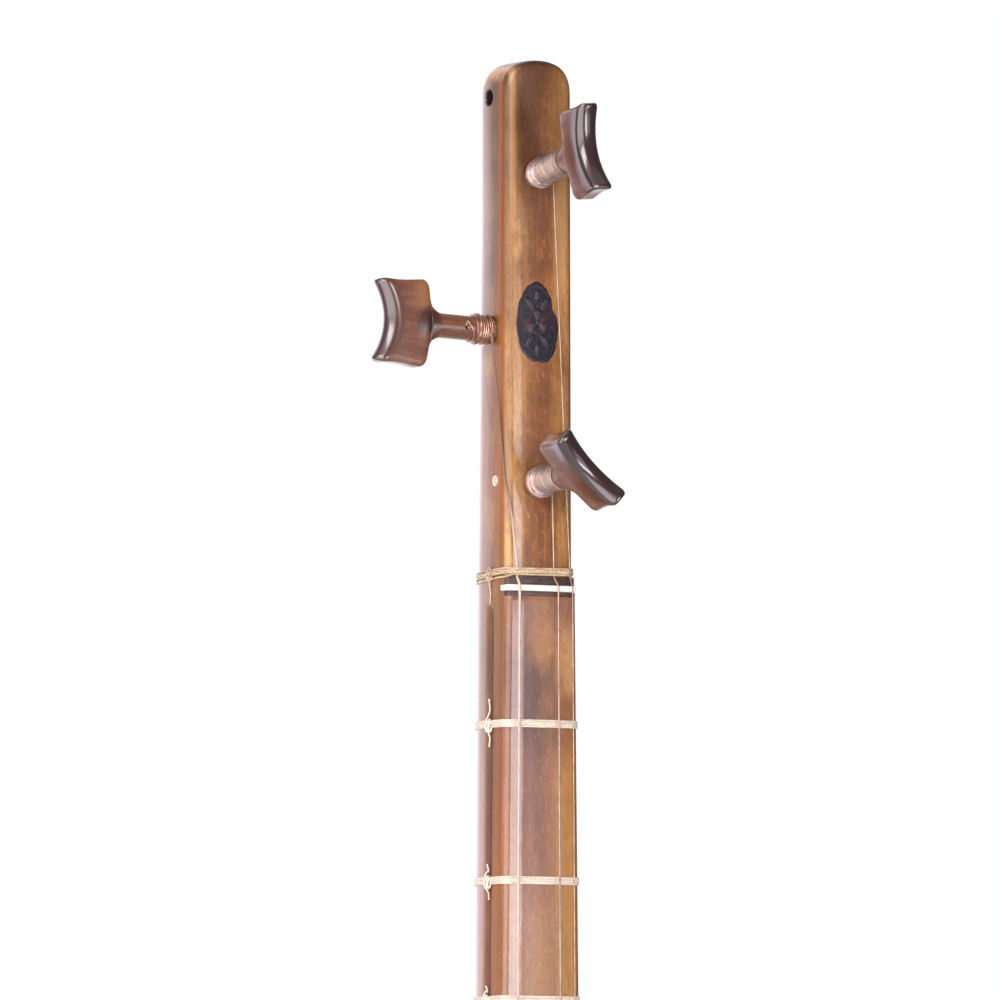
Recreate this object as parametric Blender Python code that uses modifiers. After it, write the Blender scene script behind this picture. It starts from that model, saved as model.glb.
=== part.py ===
"""Long-necked lute (tanbur): neck with peghead, fingerboard, nut, tied gut frets, three turning
pegs with their windings and strings, and a ribbed bowl with soundboard, blocks, bridge and tail
fittings. Origin at the centre of the hang hole in the peghead, +Z up along the neck, the front
faces -Y, and +X is to the right seen from the front."""

import math

import bmesh
import bpy
import numpy as np
from mathutils import Matrix, Vector

# ---- driving dimensions, in millimetres ----
MM = 0.001
GAP = 0.2  # glue-line gap between touching pieces
LOOSE = 0.3  # gap to a piece that moves

FRONT = 10.33  # fingerboard plane, in front of the hang hole's axis
HEAD_FRONT = 9.2  # flat front of the peghead
HEAD_TOP = 9.4
DOME_BASE = 0.3  # the head's rounded top starts here
DOME_POWER = 2.6  # squareness of the rounded top
DOME_EDGE = 1.4  # rounding between the top and the flat front
HEAD_HALF = (9.75, 10.1)  # half width of the head, at the hang hole and above the nut
HEAD_STRAIGHT = (9.9, 11.4)  # depth of the head's straight side, same two places
HEAD_CORNER = 2.2  # rounding of the head's front edges

NUT_Z = -127.4  # lower edge of the nut, where the open strings start
NUT_THICK = 1.9
NUT_FLOOR = 7.1  # bottom of the nut slot
NUT_TOP = FRONT + 0.55
STRIP_UPPER = (-123.5, -125.3)
STRIP_LOWER = (-127.6, -128.6)
BOARD_TOP = -128.8
BOARD_THICK = 2.2

NECK_HALF = 10.2  # half width at the nut
NECK_TAPER = 0.01035  # growth of the half width per mm of length
NECK_STRAIGHT = 12.6  # depth of the neck's straight side at the nut
STRAIGHT_TAPER = 0.006
GROOVE_DEPTH = 0.8
GROOVE_HALF = 1.0
GROOVE_BACK = 8.3  # groove's distance behind the fingerboard plane

SCALE = 670.0  # open string length, nut to bridge
FRET_CENTS = (90, 203, 294, 396, 498, 590, 702, 794, 898, 996, 1094, 1200, 1292, 1404)
FRET_WIDE = 2.0
FRET_THICK = 0.55
KNOT = (0.9, 1.8, 2.2)  # half sizes of a fret knot

JOIN = 385.0  # nut to the body
BOWL_LONG = 390.0
BOWL_HALF = 92.5
BOWL_DEEP = 138.0
RIBS = 9
RIB_THICK = 3.0
BOARD_SOUND = 2.8  # soundboard thickness
HEEL = 15.6  # the neck's heel reaches this far into the bowl's outline

SHAFT_R = 3.2
BORE_R = 3.35
STRING_R = {"bass": 0.3, "treble_1": 0.18, "treble_2": 0.18}
TILT = {"top": 10.9, "side": 2.7, "low": 5.3}  # lift of each peg's axis above the horizontal, degrees
LEAN = {"top": 3.5, "side": 0.0, "low": 2.4}  # turn of the axis to the right, degrees

BRIDGE_HIGH = 6.2

JOIN_Z = NUT_Z - JOIN
TAIL_Z = JOIN_Z - BOWL_LONG
HEEL_Z = JOIN_Z - HEEL
BRIDGE_Z = NUT_Z - SCALE

# ---- scene, collections, materials ----
for old in list(bpy.data.objects):
    bpy.data.objects.remove(old, do_unlink=True)

parts = bpy.data.collections.new("tanbur")
cutters = bpy.data.collections.new("tanbur_cutters")
bpy.context.scene.collection.children.link(parts)
bpy.context.scene.collection.children.link(cutters)


def material(name, color, rough, metallic=0.0):
    made = bpy.data.materials.new(name)
    made.use_nodes = True
    shader = made.node_tree.nodes["Principled BSDF"]
    shader.inputs["Base Color"].default_value = (*color, 1.0)
    shader.inputs["Roughness"].default_value = rough
    shader.inputs["Metallic"].default_value = metallic
    made.diffuse_color = (*color, 1.0)
    return made


WALNUT = material("lacquered_neck_wood", (0.30, 0.15, 0.07), 0.2)
BOARD = material("fingerboard_wood", (0.24, 0.12, 0.06), 0.2)
PEG_WOOD = material("peg_wood", (0.16, 0.06, 0.03), 0.2)
EBONY = material("dark_strip", (0.03, 0.02, 0.02), 0.3)
BONE = material("bone", (0.85, 0.82, 0.74), 0.35)
GUT = material("gut", (0.80, 0.72, 0.55), 0.45)
STEEL = material("string_steel", (0.75, 0.75, 0.76), 0.25, 1.0)
BRONZE = material("string_bronze", (0.65, 0.42, 0.24), 0.3, 1.0)
MULBERRY = material("soundboard_wood", (0.55, 0.36, 0.17), 0.3)
RIB_WOOD = material("rib_wood", (0.38, 0.20, 0.09), 0.25)
BLOCK_WOOD = material("block_wood", (0.50, 0.36, 0.22), 0.6)
PIN_METAL = material("pin_brass", (0.72, 0.53, 0.25), 0.3, 1.0)


# ---- helpers: points are millimetres, meshes are metres ----
def place(mesh, name, mat, collection=parts, smooth=40.0, matrix=None):
    if mat is not None:
        mesh.materials.clear()
        mesh.materials.append(mat)
    made = bpy.data.objects.new(name, mesh)
    collection.objects.link(made)
    if matrix is not None:
        made.matrix_world = matrix
    if smooth:
        mesh.shade_smooth()
        mesh.set_sharp_from_angle(angle=math.radians(smooth))
    if collection is cutters:
        made.hide_render = True
        made.display_type = "WIRE"
    return made


def mesh_of(name, points, faces):
    mesh = bpy.data.meshes.new(name)
    mesh.from_pydata([tuple(c * MM for c in p) for p in points], [], faces)
    bm = bmesh.new()
    bm.from_mesh(mesh)
    bmesh.ops.recalc_face_normals(bm, faces=bm.faces)
    bm.to_mesh(mesh)
    bm.free()
    return mesh


def loft(name, rings, mat, closed=False, **more):
    """Skin over rings of equal point count, ends capped, or joined end to start if closed."""
    count = len(rings[0])
    points = [p for ring in rings for p in ring]
    faces = []
    rows = len(rings) if closed else len(rings) - 1
    for i in range(rows):
        a, b = i * count, ((i + 1) % len(rings)) * count
        for j in range(count):
            k = (j + 1) % count
            faces.append((a + j, a + k, b + k, b + j))
    if not closed:
        faces.append(tuple(range(count)))
        faces.append(tuple((len(rings) - 1) * count + j for j in range(count)))
    return place(mesh_of(name, points, faces), name, mat, **more)


def flat_outline(name, outline, thick, mat, matrix, bevel=0.0, segments=2, smooth=40.0):
    """Closed outline in its own XY plane, extruded to both sides, edges rounded."""
    curve = bpy.data.curves.new(name, "CURVE")
    curve.dimensions = "2D"
    curve.fill_mode = "BOTH"
    curve.extrude = thick / 2 * MM
    line = curve.splines.new("POLY")
    line.points.add(len(outline) - 1)
    for point, (x, y) in zip(line.points, outline):
        point.co = (x * MM, y * MM, 0, 1)
    line.use_cyclic_u = True
    holder = bpy.data.objects.new(name + "_outline", curve)
    parts.objects.link(holder)
    made = solid_of_curve(holder, name, mat, smooth)
    made.matrix_world = matrix
    if bevel:
        edge = made.modifiers.new("edges", "BEVEL")
        edge.width = bevel * MM
        edge.segments = segments
        edge.limit_method = "ANGLE"
        edge.angle_limit = math.radians(60)
    return made


def solid_of_curve(holder, name, mat, smooth=40.0):
    bpy.context.view_layer.update()
    graph = bpy.context.evaluated_depsgraph_get()
    mesh = bpy.data.meshes.new_from_object(holder.evaluated_get(graph))
    mesh.name = name
    bm = bmesh.new()
    bm.from_mesh(mesh)
    bmesh.ops.remove_doubles(bm, verts=bm.verts, dist=1e-6)
    bmesh.ops.recalc_face_normals(bm, faces=bm.faces)
    bm.to_mesh(mesh)
    bm.free()
    made = place(mesh, name, mat, smooth=smooth, matrix=holder.matrix_world.copy())
    bpy.data.objects.remove(holder, do_unlink=True)
    return made


def turned(name, profile, steps, mat, matrix, collection=parts):
    """Profile of (radius, height) at +X, read down its outer side from top to bottom."""
    mesh = bpy.data.meshes.new(name)
    points = [(r * MM, 0, h * MM) for r, h in profile]
    mesh.from_pydata(points, [(i, i + 1) for i in range(len(points) - 1)], [])
    made = place(mesh, name, mat, collection, smooth=0, matrix=matrix)
    screw = made.modifiers.new("turn", "SCREW")
    screw.axis = "Z"
    screw.steps = screw.render_steps = steps
    screw.use_merge_vertices = True
    screw.merge_threshold = 1e-6
    screw.use_smooth_shade = True
    return made


def ring_turned(name, inner, outer, low, high, steps, mat, matrix, bulge=0.0):
    """Turned ring with a slightly crowned outer side."""
    middle = (low + high) / 2
    profile = [(inner, high), (outer - bulge, high), (outer, middle), (outer - bulge, low), (inner, low), (inner, high)]
    return turned(name, profile, steps, mat, matrix)


def cylinder(name, radius, low, high, steps, matrix, mat=None, collection=cutters):
    return turned(name, [(0, high), (radius, high), (radius, low), (0, low)], steps, mat, matrix, collection)


def box(name, low, high, mat, bevel=0.0, collection=parts):
    bm = bmesh.new()
    bmesh.ops.create_cube(bm, size=1.0)
    for v in bm.verts:
        v.co = Vector([(low[i] + (v.co[i] + 0.5) * (high[i] - low[i])) * MM for i in range(3)])
    mesh = bpy.data.meshes.new(name)
    bm.to_mesh(mesh)
    bm.free()
    made = place(mesh, name, mat, collection, smooth=0)
    if bevel:
        edge = made.modifiers.new("edges", "BEVEL")
        edge.width = bevel * MM
        edge.segments = 2
    return made


def tube(name, points, radius, mat):
    """Round cord through the given points, with closed ends."""
    curve = bpy.data.curves.new(name, "CURVE")
    curve.dimensions = "3D"
    curve.bevel_depth = radius * MM
    curve.bevel_resolution = 2
    curve.use_fill_caps = True
    line = curve.splines.new("POLY")
    line.points.add(len(points) - 1)
    for point, co in zip(line.points, points):
        point.co = (co[0] * MM, co[1] * MM, co[2] * MM, 1)
    curve.materials.append(mat)
    made = bpy.data.objects.new(name, curve)
    parts.objects.link(made)
    return made


def boolean(target, other, operation, label):
    cut = target.modifiers.new(label, "BOOLEAN")
    cut.operation = operation
    cut.solver = "EXACT"
    cut.object = other


def frame_at(origin, outward, side):
    """Matrix whose Z runs along outward and whose X is as near side as can be."""
    z = Vector(outward).normalized()
    x = Vector(side)
    x = (x - z * x.dot(z)).normalized()
    y = z.cross(x)
    matrix = Matrix((x, y, z)).transposed().to_4x4()
    matrix.translation = Vector(origin) * MM
    return matrix


# ---- sections of the neck and of the bowl ----
def blend(a, b, t):
    t = min(max(t, 0.0), 1.0)
    return a + (b - a) * t


def quartic(start, slope, at, peak, end):
    """Coefficients of a quartic for sqrt(1-t)*S(t): value and slope at 0, flat peak at t=at, S(1)=end."""
    root = math.sqrt(1 - at)
    value = peak / root
    rate = value * 0.5 / (1 - at)
    first = slope + start / 2
    left = [
        [at**2, at**3, at**4],
        [2 * at, 3 * at**2, 4 * at**3],
        [1, 1, 1],
    ]
    right = [value - start - first * at, rate - first, end - start - first]
    return [start, first, *np.linalg.solve(np.array(left), np.array(right))]


def neck_half(below):
    return NECK_HALF + NECK_TAPER * below


HALF_AT_JOIN = neck_half(JOIN)
WIDTH_CURVE = quartic(HALF_AT_JOIN, 0.17 * BOWL_LONG, 0.70, BOWL_HALF, 257.0)
DEPTH_CURVE = quartic(27.0, 0.40 * BOWL_LONG, 0.66, BOWL_DEEP, 272.0)


def polynomial(curve, t):
    return sum(c * t**i for i, c in enumerate(curve))


def bowl(s):
    """Half width, straight depth and round depth of the bowl; s runs from 1 at the join to 0 at the tail."""
    t = 1 - s * s
    half = s * polynomial(WIDTH_CURVE, t)
    deep = s * polynomial(DEPTH_CURVE, t)
    straight = s * (9.0 - 3.0 * t)
    return half, straight, deep - straight


def bowl_point(s, angle):
    """Point of the bowl's outer surface; the angle runs from the right edge round the back to the left."""
    half, straight, deep = bowl(s)
    z = TAIL_Z + BOWL_LONG * s * s
    folded = angle if angle <= math.pi / 2 else math.pi - angle
    if folded < 0:
        x, y = half, straight + deep * folded
    else:
        x, y = half * math.cos(folded), straight + deep * math.sin(folded)
    return np.array((x if angle <= math.pi / 2 else -x, -FRONT + y, z))


def bowl_inside(s, angle, inset):
    """The same point moved inwards along the surface's normal."""
    ds, da = 1e-3, 1e-3
    along = bowl_point(min(s + ds, 1.0), angle) - bowl_point(max(s - ds, 1e-4), angle)
    across = bowl_point(s, angle + da) - bowl_point(s, angle - da)
    normal = np.cross(along, across)
    normal /= np.linalg.norm(normal)
    point = bowl_point(s, angle)
    centre = np.array((0.0, -FRONT + 20.0, min(point[2], HEEL_Z) + 0.0))
    centre[2] = blend(TAIL_Z + 120, JOIN_Z - 20, (point[2] - TAIL_Z) / BOWL_LONG)
    if np.dot(normal, point - centre) < 0:
        normal = -normal
    return point - normal * inset


EDGE = BOARD_SOUND + GAP  # the ribs start this far behind the soundboard's face


def edge_angle(s, edge=EDGE):
    _, straight, deep = bowl(s)
    if straight >= edge:
        return (edge - straight) / deep
    return math.asin(min(1.0, (edge - straight) / deep))


S_HEEL = math.sqrt(1 - HEEL / BOWL_LONG)
HALF_AT_HEEL, STRAIGHT_AT_HEEL, ROUND_AT_HEEL = bowl(S_HEEL)
SLOPE_AT_HEEL = 0.40


def neck_shape(z):
    """Half width, straight depth, round depth and front plane of the stem at this height."""
    below = NUT_Z - z
    if z > STRIP_UPPER[0]:
        down = min(max(-z / 120.0, 0.0), 1.0)
        half = blend(HEAD_HALF[0], HEAD_HALF[1], down)
        straight = blend(HEAD_STRAIGHT[0], HEAD_STRAIGHT[1], down)
        return half, straight, half, HEAD_FRONT
    plane = FRONT - BOARD_THICK - GAP
    half = neck_half(max(below, 0.0))
    straight = NECK_STRAIGHT - STRAIGHT_TAPER * below
    deep = half
    start = 300.0
    if below > start:
        t = (below - start) / (JOIN + HEEL - start)
        half = blend(half, HALF_AT_HEEL, max(0.0, (below - JOIN + 45) / (HEEL + 45)) ** 2)
        ease = t * t * t * (t * (6 * t - 15) + 10)
        straight = blend(straight, STRAIGHT_AT_HEEL, ease)
        deep = blend(deep, ROUND_AT_HEEL, 0.25 * ease + 0.75 * t**3)
    return half, straight - (FRONT - plane), deep, plane


ARC = 12


def stem_ring(z, half, straight, deep, plane, corner, groove):
    """Closed section: front flat between two rounded corners, straight sides, round back, groove on the left."""
    ring = []
    front, back = -plane, -plane + straight
    for i in range(3):
        a = math.radians(90 * i / 2)
        ring.append((half - corner + corner * math.sin(a), front + corner - corner * math.cos(a), z))
    for i in range(ARC + 1):
        a = math.pi * i / ARC
        ring.append((half * math.cos(a), back + deep * math.sin(a), z))
    middle = front + corner + (back - front - corner) * 0.62
    if straight > 9.0:
        middle = -FRONT + GROOVE_BACK if groove >= 0 else middle
    wide = min(GROOVE_HALF, 0.2 * (back - front - corner))
    middle = min(middle, back - wide - 0.3)
    deep_in = max(groove, 0.0)
    ring.append((-half, middle + wide, z))
    ring.append((-half + deep_in, middle + 0.6 * wide, z))
    ring.append((-half + deep_in, middle - 0.6 * wide, z))
    ring.append((-half, middle - wide, z))
    for i in range(3):
        a = math.radians(90 * i / 2)
        ring.append((-half + corner - corner * math.cos(a), front + corner - corner * math.sin(a), z))
    return ring


# ---- neck with peghead ----
rings = []
for i in range(6, -1, -1):
    lift = math.radians(13.6 * i)
    rise = math.sin(lift) ** (2 / DOME_POWER)
    z = DOME_BASE + (HEAD_TOP - DOME_BASE) * rise
    k = math.cos(lift) ** (2 / DOME_POWER)
    half, straight, deep, plane = neck_shape(min(z, 0.0))
    over = max(0.0, z - (HEAD_TOP - DOME_EDGE)) / DOME_EDGE
    cut = DOME_EDGE * (1 - math.sqrt(max(0.0, 1 - over**2)))
    rings.append(stem_ring(z, half * k, straight - 2 * cut, deep * k, plane - cut, min(HEAD_CORNER, 0.6 * half * k), 0.0))
for z in (-40.0, -85.0, STRIP_UPPER[0] + GAP):
    half, straight, deep, plane = neck_shape(z)
    rings.append(stem_ring(z, half, straight, deep, plane, HEAD_CORNER, 0.0))
half, straight, deep, plane = neck_shape(STRIP_UPPER[0])
rings.append(stem_ring(STRIP_UPPER[0] + GAP - 0.02, half, straight, deep, plane, 0.15, 0.0))
half, straight, deep, plane = neck_shape(NUT_Z - 3.1)
rings.append(stem_ring(NUT_Z - 3.1, half, straight, deep, plane, 0.15, 0.0))
for below in (5.0, 60.0, 130.0, 200.0, 265.0, 310.0, 335.0, 352.0, 366.0):
    half, straight, deep, plane = neck_shape(NUT_Z - below)
    rings.append(stem_ring(NUT_Z - below, half, straight, deep, plane, 0.15, GROOVE_DEPTH))
for below in (370.0, 380.0, 388.0, 395.0, JOIN + HEEL):
    half, straight, deep, plane = neck_shape(NUT_Z - below)
    rings.append(stem_ring(NUT_Z - below, half, straight, deep, plane, 0.15, 0.0))
neck = loft("neck", rings, WALNUT, smooth=35.0)

TENON = ((-8.0, -4.5), (8.0, 14.0), 14.0)  # x and y span, and length below the heel
(tx0, ty0), (tx1, ty1), tenon_long = TENON
tenon = box("tenon", (tx0, ty0, HEEL_Z - tenon_long), (tx1, ty1, HEEL_Z + 3), None, collection=cutters)
boolean(neck, tenon, "UNION", "tenon")
slot = box("nut_slot", (-15, -20, NUT_Z - GAP), (15, -NUT_FLOOR + GAP, NUT_Z + NUT_THICK + GAP), None, collection=cutters)
boolean(neck, slot, "DIFFERENCE", "nut slot")
hang = cylinder("hang_hole", 1.9, -16, 16, 16, frame_at((0, 0, 0), (1, 0, 0), (0, 0, 1)))
boolean(neck, hang, "DIFFERENCE", "hang hole")
PLUG_AT = (-9.89, -3.4, -98.9)
plug_hole = cylinder("plug_hole", 1.5 + GAP, -2.2, 2, 12, frame_at(PLUG_AT, (-1, 0, 0), (0, 0, 1)))
boolean(neck, plug_hole, "DIFFERENCE", "plug hole")
plug = cylinder("side_plug", 1.5, -2.0, 0.05, 12, frame_at(PLUG_AT, (-1, 0, 0), (0, 0, 1)), BONE, parts)

# ---- pegs ----
def outward(label):
    lift, turn = math.radians(TILT[label]), math.radians(LEAN[label])
    if label == "side":
        return (-math.cos(lift), 0.0, math.sin(lift))
    return (math.sin(turn) * math.cos(lift), -math.cos(turn) * math.cos(lift), math.sin(lift))


# entry point, roll (top tip to the left), half width at the tips and at the shoulder, then distances from the
# wood along the axis: shoulder at the shaft and at its corners, hollow rim in the middle and at the tips,
# length of shaft inside; last the winding's start, end and radius
PEGS = {
    "top": dict(at=(-1.0, -HEAD_FRONT, -20.4), roll=5.5, half=11.4, broad=11.8, shoulder=18.0, corner=19.1, middle=26.4, tip=29.9, thick=5.9, through=21.0, winding=(1.1, 2.9, 3.85), wire=STEEL),
    "side": dict(at=(-9.85, -1.4, -60.1), roll=0.5, half=10.8, broad=11.25, shoulder=18.6, corner=20.1, middle=29.6, tip=33.3, thick=5.6, through=19.4, winding=(0.6, 6.5, 3.75), wire=BRONZE),
    "low": dict(at=(-0.7, -HEAD_FRONT, -99.5), roll=45.2, half=11.5, broad=11.7, shoulder=15.8, corner=17.0, middle=25.6, tip=28.0, thick=5.6, through=21.6, winding=(0.6, 2.4, 3.85), wire=STEEL),
}
for label, peg in PEGS.items():
    peg["out"] = outward(label)


def peg_outline(peg):
    """Flat head seen broadside: slanting shoulders, near-parallel sides, hollow outer rim, rounded corners."""
    low_r, tip_r = 1.5, 1.1
    half, broad, corner, tip, middle = peg["half"], peg["broad"], peg["corner"], peg["tip"], peg["middle"]
    # right half from the shaft outwards, then the hollow rim, then mirrored
    right = [(3.0, peg["shoulder"]), (broad * 0.6, peg["shoulder"] + (corner - peg["shoulder"]) * 0.45)]
    for i in range(4):
        a = math.radians(-80 + 80 * i / 3)
        right.append((broad - low_r + low_r * math.cos(a), corner + low_r + low_r * math.sin(a)))
    right.append(((broad + half) / 2 + 0.1, (corner + tip) / 2 + 1))
    for i in range(4):
        a = math.radians(125 * i / 3)
        right.append((half - tip_r + tip_r * math.cos(a), tip - tip_r + tip_r * math.sin(a)))
    reach = half - tip_r
    for i in range(1, 5):
        v = (reach - tip_r) * (1 - i / 4.0)
        if v > 0.5:
            right.append((v, middle + (tip - middle) * (v / reach) ** 2))
    return right + [(0.0, middle)] + [(-v, u) for v, u in reversed(right)]


for label, peg in PEGS.items():
    side = (1, 0, 0) if label != "side" else (0, -1, 0)
    base = frame_at(peg["at"], peg["out"], side)
    turn = base @ Matrix.Rotation(math.radians(peg["roll"]), 4, "Z")
    r = SHAFT_R
    profile = [
        (0, peg["shoulder"] + 5.0),
        (2.4, peg["shoulder"] + 4.6),
        (3.0, peg["shoulder"] + 2.0),
        (r + 1.5, peg["shoulder"] + 0.8),
        (r + 0.7, peg["shoulder"] - 0.2),
        (r + 0.2, peg["shoulder"] - 1.4),
        (r, peg["shoulder"] - 2.8),
        (r, 0.0),
        (r, -peg["through"] + 0.6),
        (r - 0.6, -peg["through"]),
        (0, -peg["through"]),
    ]
    shaft = turned(f"peg_{label}", profile, 24, PEG_WOOD, base)
    # the head's outline lies in the plane of the chord and the peg's axis
    chord = turn.to_3x3() @ Vector((0, 1, 0))
    axis = turn.to_3x3() @ Vector((0, 0, 1))
    plane = Matrix((chord, axis, chord.cross(axis))).transposed().to_4x4()
    plane.translation = base.translation
    blade = flat_outline(f"blade_{label}", peg_outline(peg), peg["thick"], PEG_WOOD, plane, bevel=1.2)
    parts.objects.unlink(blade)
    cutters.objects.link(blade)
    blade.hide_render = True
    blade.display_type = "WIRE"
    boolean(shaft, blade, "UNION", "head")
    eye = cylinder(f"string_eye_{label}", 0.6, -8, 8, 8, frame_at(peg["at"], (0, 0, 1) if label != "side" else (0, -1, 0), (1, 0, 0)) @ Matrix.Identity(4))
    offset = Vector(peg["out"]) * (peg["winding"][1] + 2.3) * MM
    eye.matrix_world = Matrix.Translation(offset) @ eye.matrix_world
    boolean(shaft, eye, "DIFFERENCE", "string eye")
    low, high, radius = peg["winding"]
    ring_turned(f"winding_{label}", SHAFT_R + 0.1, radius, low, high, 24, peg["wire"], base, bulge=0.2)
    bore = cylinder(f"bore_{label}", BORE_R, -30, 12, 24, base)
    boolean(neck, bore, "DIFFERENCE", f"bore {label}")

# ---- fingerboard, nut and strips ----
outline = []
stations = [0.0, 90.0, 180.0, 270.0, 330.0, 350.0, 365.0, 380.0, 392.0, JOIN + HEEL - 0.1]
for below in stations:
    z = BOARD_TOP if below == 0.0 else NUT_Z - below
    outline.append((neck_shape(z)[0], z))
outline += [(-x, z) for x, z in reversed(outline)]
PLANE_XZ = Matrix(((1, 0, 0, 0), (0, 0, -1, 0), (0, 1, 0, 0), (0, 0, 0, 1)))
facing = PLANE_XZ.copy()
facing.translation = Vector((0, -(FRONT - BOARD_THICK / 2), 0)) * MM
board = flat_outline("fingerboard", outline, BOARD_THICK, BOARD, facing, bevel=0.7, segments=2)

half_nut = neck_half(0)
box("nut", (-half_nut, -NUT_TOP, NUT_Z), (half_nut, -NUT_FLOOR, NUT_Z + NUT_THICK), BONE, bevel=0.35)
low_front = FRONT - BOARD_THICK - GAP
box("nut_strip_upper", (-half_nut + 0.1, -9.3, STRIP_UPPER[1]), (half_nut - 0.1, -low_front - GAP, STRIP_UPPER[0]), EBONY, bevel=0.25)
box("nut_strip_lower", (-half_nut, -FRONT, STRIP_LOWER[1]), (half_nut, -low_front - GAP, STRIP_LOWER[0]), EBONY, bevel=0.2)


# ---- tied frets and the string tie: closed bands round the stem ----
def band_loop(half, straight, deep, plane, corner, out, z, sag=0.0):
    """Section contour moved outwards by out, at height z, sagging towards the back."""
    loop = []
    front, back = -plane, -plane + straight
    corner = corner + out
    half, front, deep = half + out, front - out, deep + out
    for i in range(3):
        a = math.radians(90 * i / 2)
        loop.append((half - corner + corner * math.sin(a), front + corner - corner * math.cos(a)))
    for i in range(11):
        a = math.pi * i / 10
        loop.append((half * math.cos(a), back + deep * math.sin(a)))
    for i in range(3):
        a = math.radians(90 * i / 2)
        loop.append((-half + corner - corner * math.cos(a), front + corner - corner * math.sin(a)))
    reach = straight + deep
    return [(x, y, z - sag * max(0.0, (y + plane) / reach)) for x, y in loop]


def knot_on(band, at, size):
    bm = bmesh.new()
    bmesh.ops.create_uvsphere(bm, u_segments=8, v_segments=6, radius=1.0)
    for v in bm.verts:
        v.co = Vector([(at[i] + v.co[i] * size[i]) * MM for i in range(3)])
    mesh = bpy.data.meshes.new(band.name + "_knot")
    bm.to_mesh(mesh)
    bm.free()
    made = place(mesh, band.name + "_knot", None, cutters)
    boolean(band, made, "UNION", "knot")


def tied_band(name, z, shape, inner, thick, wide, front_extra=0.0, sag=0.0):
    half, straight, deep, plane, corner = shape
    low, high = z - wide / 2, z + wide / 2

    def loop(out, height):
        made = band_loop(half, straight, deep, plane, corner, out, height, sag)
        return [(x, y - front_extra if y < -plane + 0.1 + corner * 0.5 else y, h) for x, y, h in made]

    loops = [loop(inner, low), loop(inner + thick, low), loop(inner + thick, high), loop(inner, high)]
    count = len(loops[0])
    return loft(name, [[loops[i][j] for i in range(4)] for j in range(count)], GUT, closed=True)


fret_z = []
for number, cents in enumerate(FRET_CENTS, 1):
    below = SCALE * (1 - 2 ** (-cents / 1200.0))
    z = NUT_Z - below
    fret_z.append(z)
    half, straight, deep, plane = neck_shape(z)
    shape = (half, straight + BOARD_THICK + GAP, deep, FRONT, 0.7)
    band = tied_band(f"fret_{number:02d}", z, shape, LOOSE, FRET_THICK, FRET_WIDE)
    knot_on(band, (-half - LOOSE - KNOT[0], -FRONT + GROOVE_BACK - 0.3, z), KNOT)

TIE_Z = -122.3
half, straight, deep, plane = neck_shape(TIE_Z)
tie = tied_band("string_tie", TIE_Z, (half, straight, deep, plane, HEAD_CORNER), LOOSE + 0.1, 0.6, 2.2, front_extra=0.6, sag=0.9)
knot_on(tie, (-half - LOOSE - 1.0, -1.9, TIE_Z - 0.5), (0.9, 1.7, 2.0))

# ---- bowl: ribs, blocks, cap, soundboard ----
S_TAIL = 0.12
ROWS = 20
PIECES = 4


def rib_edge(s, k):
    """Angle of the seam k (0 to RIBS) at station s."""
    low = edge_angle(s)
    if k == 0:
        return low
    if k == RIBS:
        return math.pi - low
    return math.pi * k / RIBS


def seam_shift(s, angle):
    half, _, deep = bowl(s)
    local = math.hypot(half * math.sin(angle), deep * math.cos(angle))
    return (GAP / 2) / max(local, 1.0)


for k in range(RIBS):
    rings = []
    for row in range(ROWS):
        f = row / (ROWS - 1)
        s = S_HEEL + (S_TAIL - S_HEEL) * f
        start, end = rib_edge(s, k), rib_edge(s, k + 1)
        if k > 0:
            start += seam_shift(s, start)
        if k < RIBS - 1:
            end -= seam_shift(s, end)
        angles = [start + (end - start) * i / PIECES for i in range(PIECES + 1)]
        outer = [bowl_point(s, a) for a in angles]
        inner = [bowl_inside(s, a, RIB_THICK) for a in angles]
        ring = [tuple(p) for p in outer] + [tuple(p) for p in reversed(inner)]
        rings.append(ring)
    # the ribs butt on the heel with a glue-line gap
    rings[0] = [(x, y, min(z, HEEL_Z) - GAP) for x, y, z in rings[0]]
    loft(f"rib_{k + 1}", rings, RIB_WOOD, smooth=30.0)


def block_ring(s, inset, count=10):
    low = edge_angle(s)
    return [tuple(bowl_inside(s, low + (math.pi - 2 * low) * i / count, inset)) for i in range(count + 1)]


NECK_BLOCK_LONG = 38.0
rings = []
for f in (0.0, 0.5, 1.0):
    z = HEEL_Z - 2.2 - NECK_BLOCK_LONG * f
    s = math.sqrt((z - TAIL_Z) / BOWL_LONG)
    rings.append([(x, min(max(y, -FRONT + EDGE), 200.0), z) for x, y, _ in block_ring(s, RIB_THICK + 1.0)])
neck_block = loft("neck_block", rings, BLOCK_WOOD, smooth=30.0)
pocket = box("tenon_pocket", (tx0 - GAP, ty0 - GAP, HEEL_Z - tenon_long - GAP), (tx1 + GAP, ty1 + GAP, HEEL_Z + 3), None, collection=cutters)
boolean(neck_block, pocket, "DIFFERENCE", "tenon pocket")

rings = []
for s in (0.06, 0.10, 0.14, 0.18):
    low = edge_angle(s)
    ring = []
    for i in range(11):
        p = bowl_inside(s, low + (math.pi - 2 * low) * i / 10, RIB_THICK + 0.8)
        ring.append((p[0], max(p[1], -FRONT + EDGE), p[2]))
    rings.append(ring)
flat = [(x, y, TAIL_Z + 22.0) for x, y, _ in rings[-1]]
loft("tail_block", rings + [flat], BLOCK_WOOD, smooth=30.0)


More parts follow.
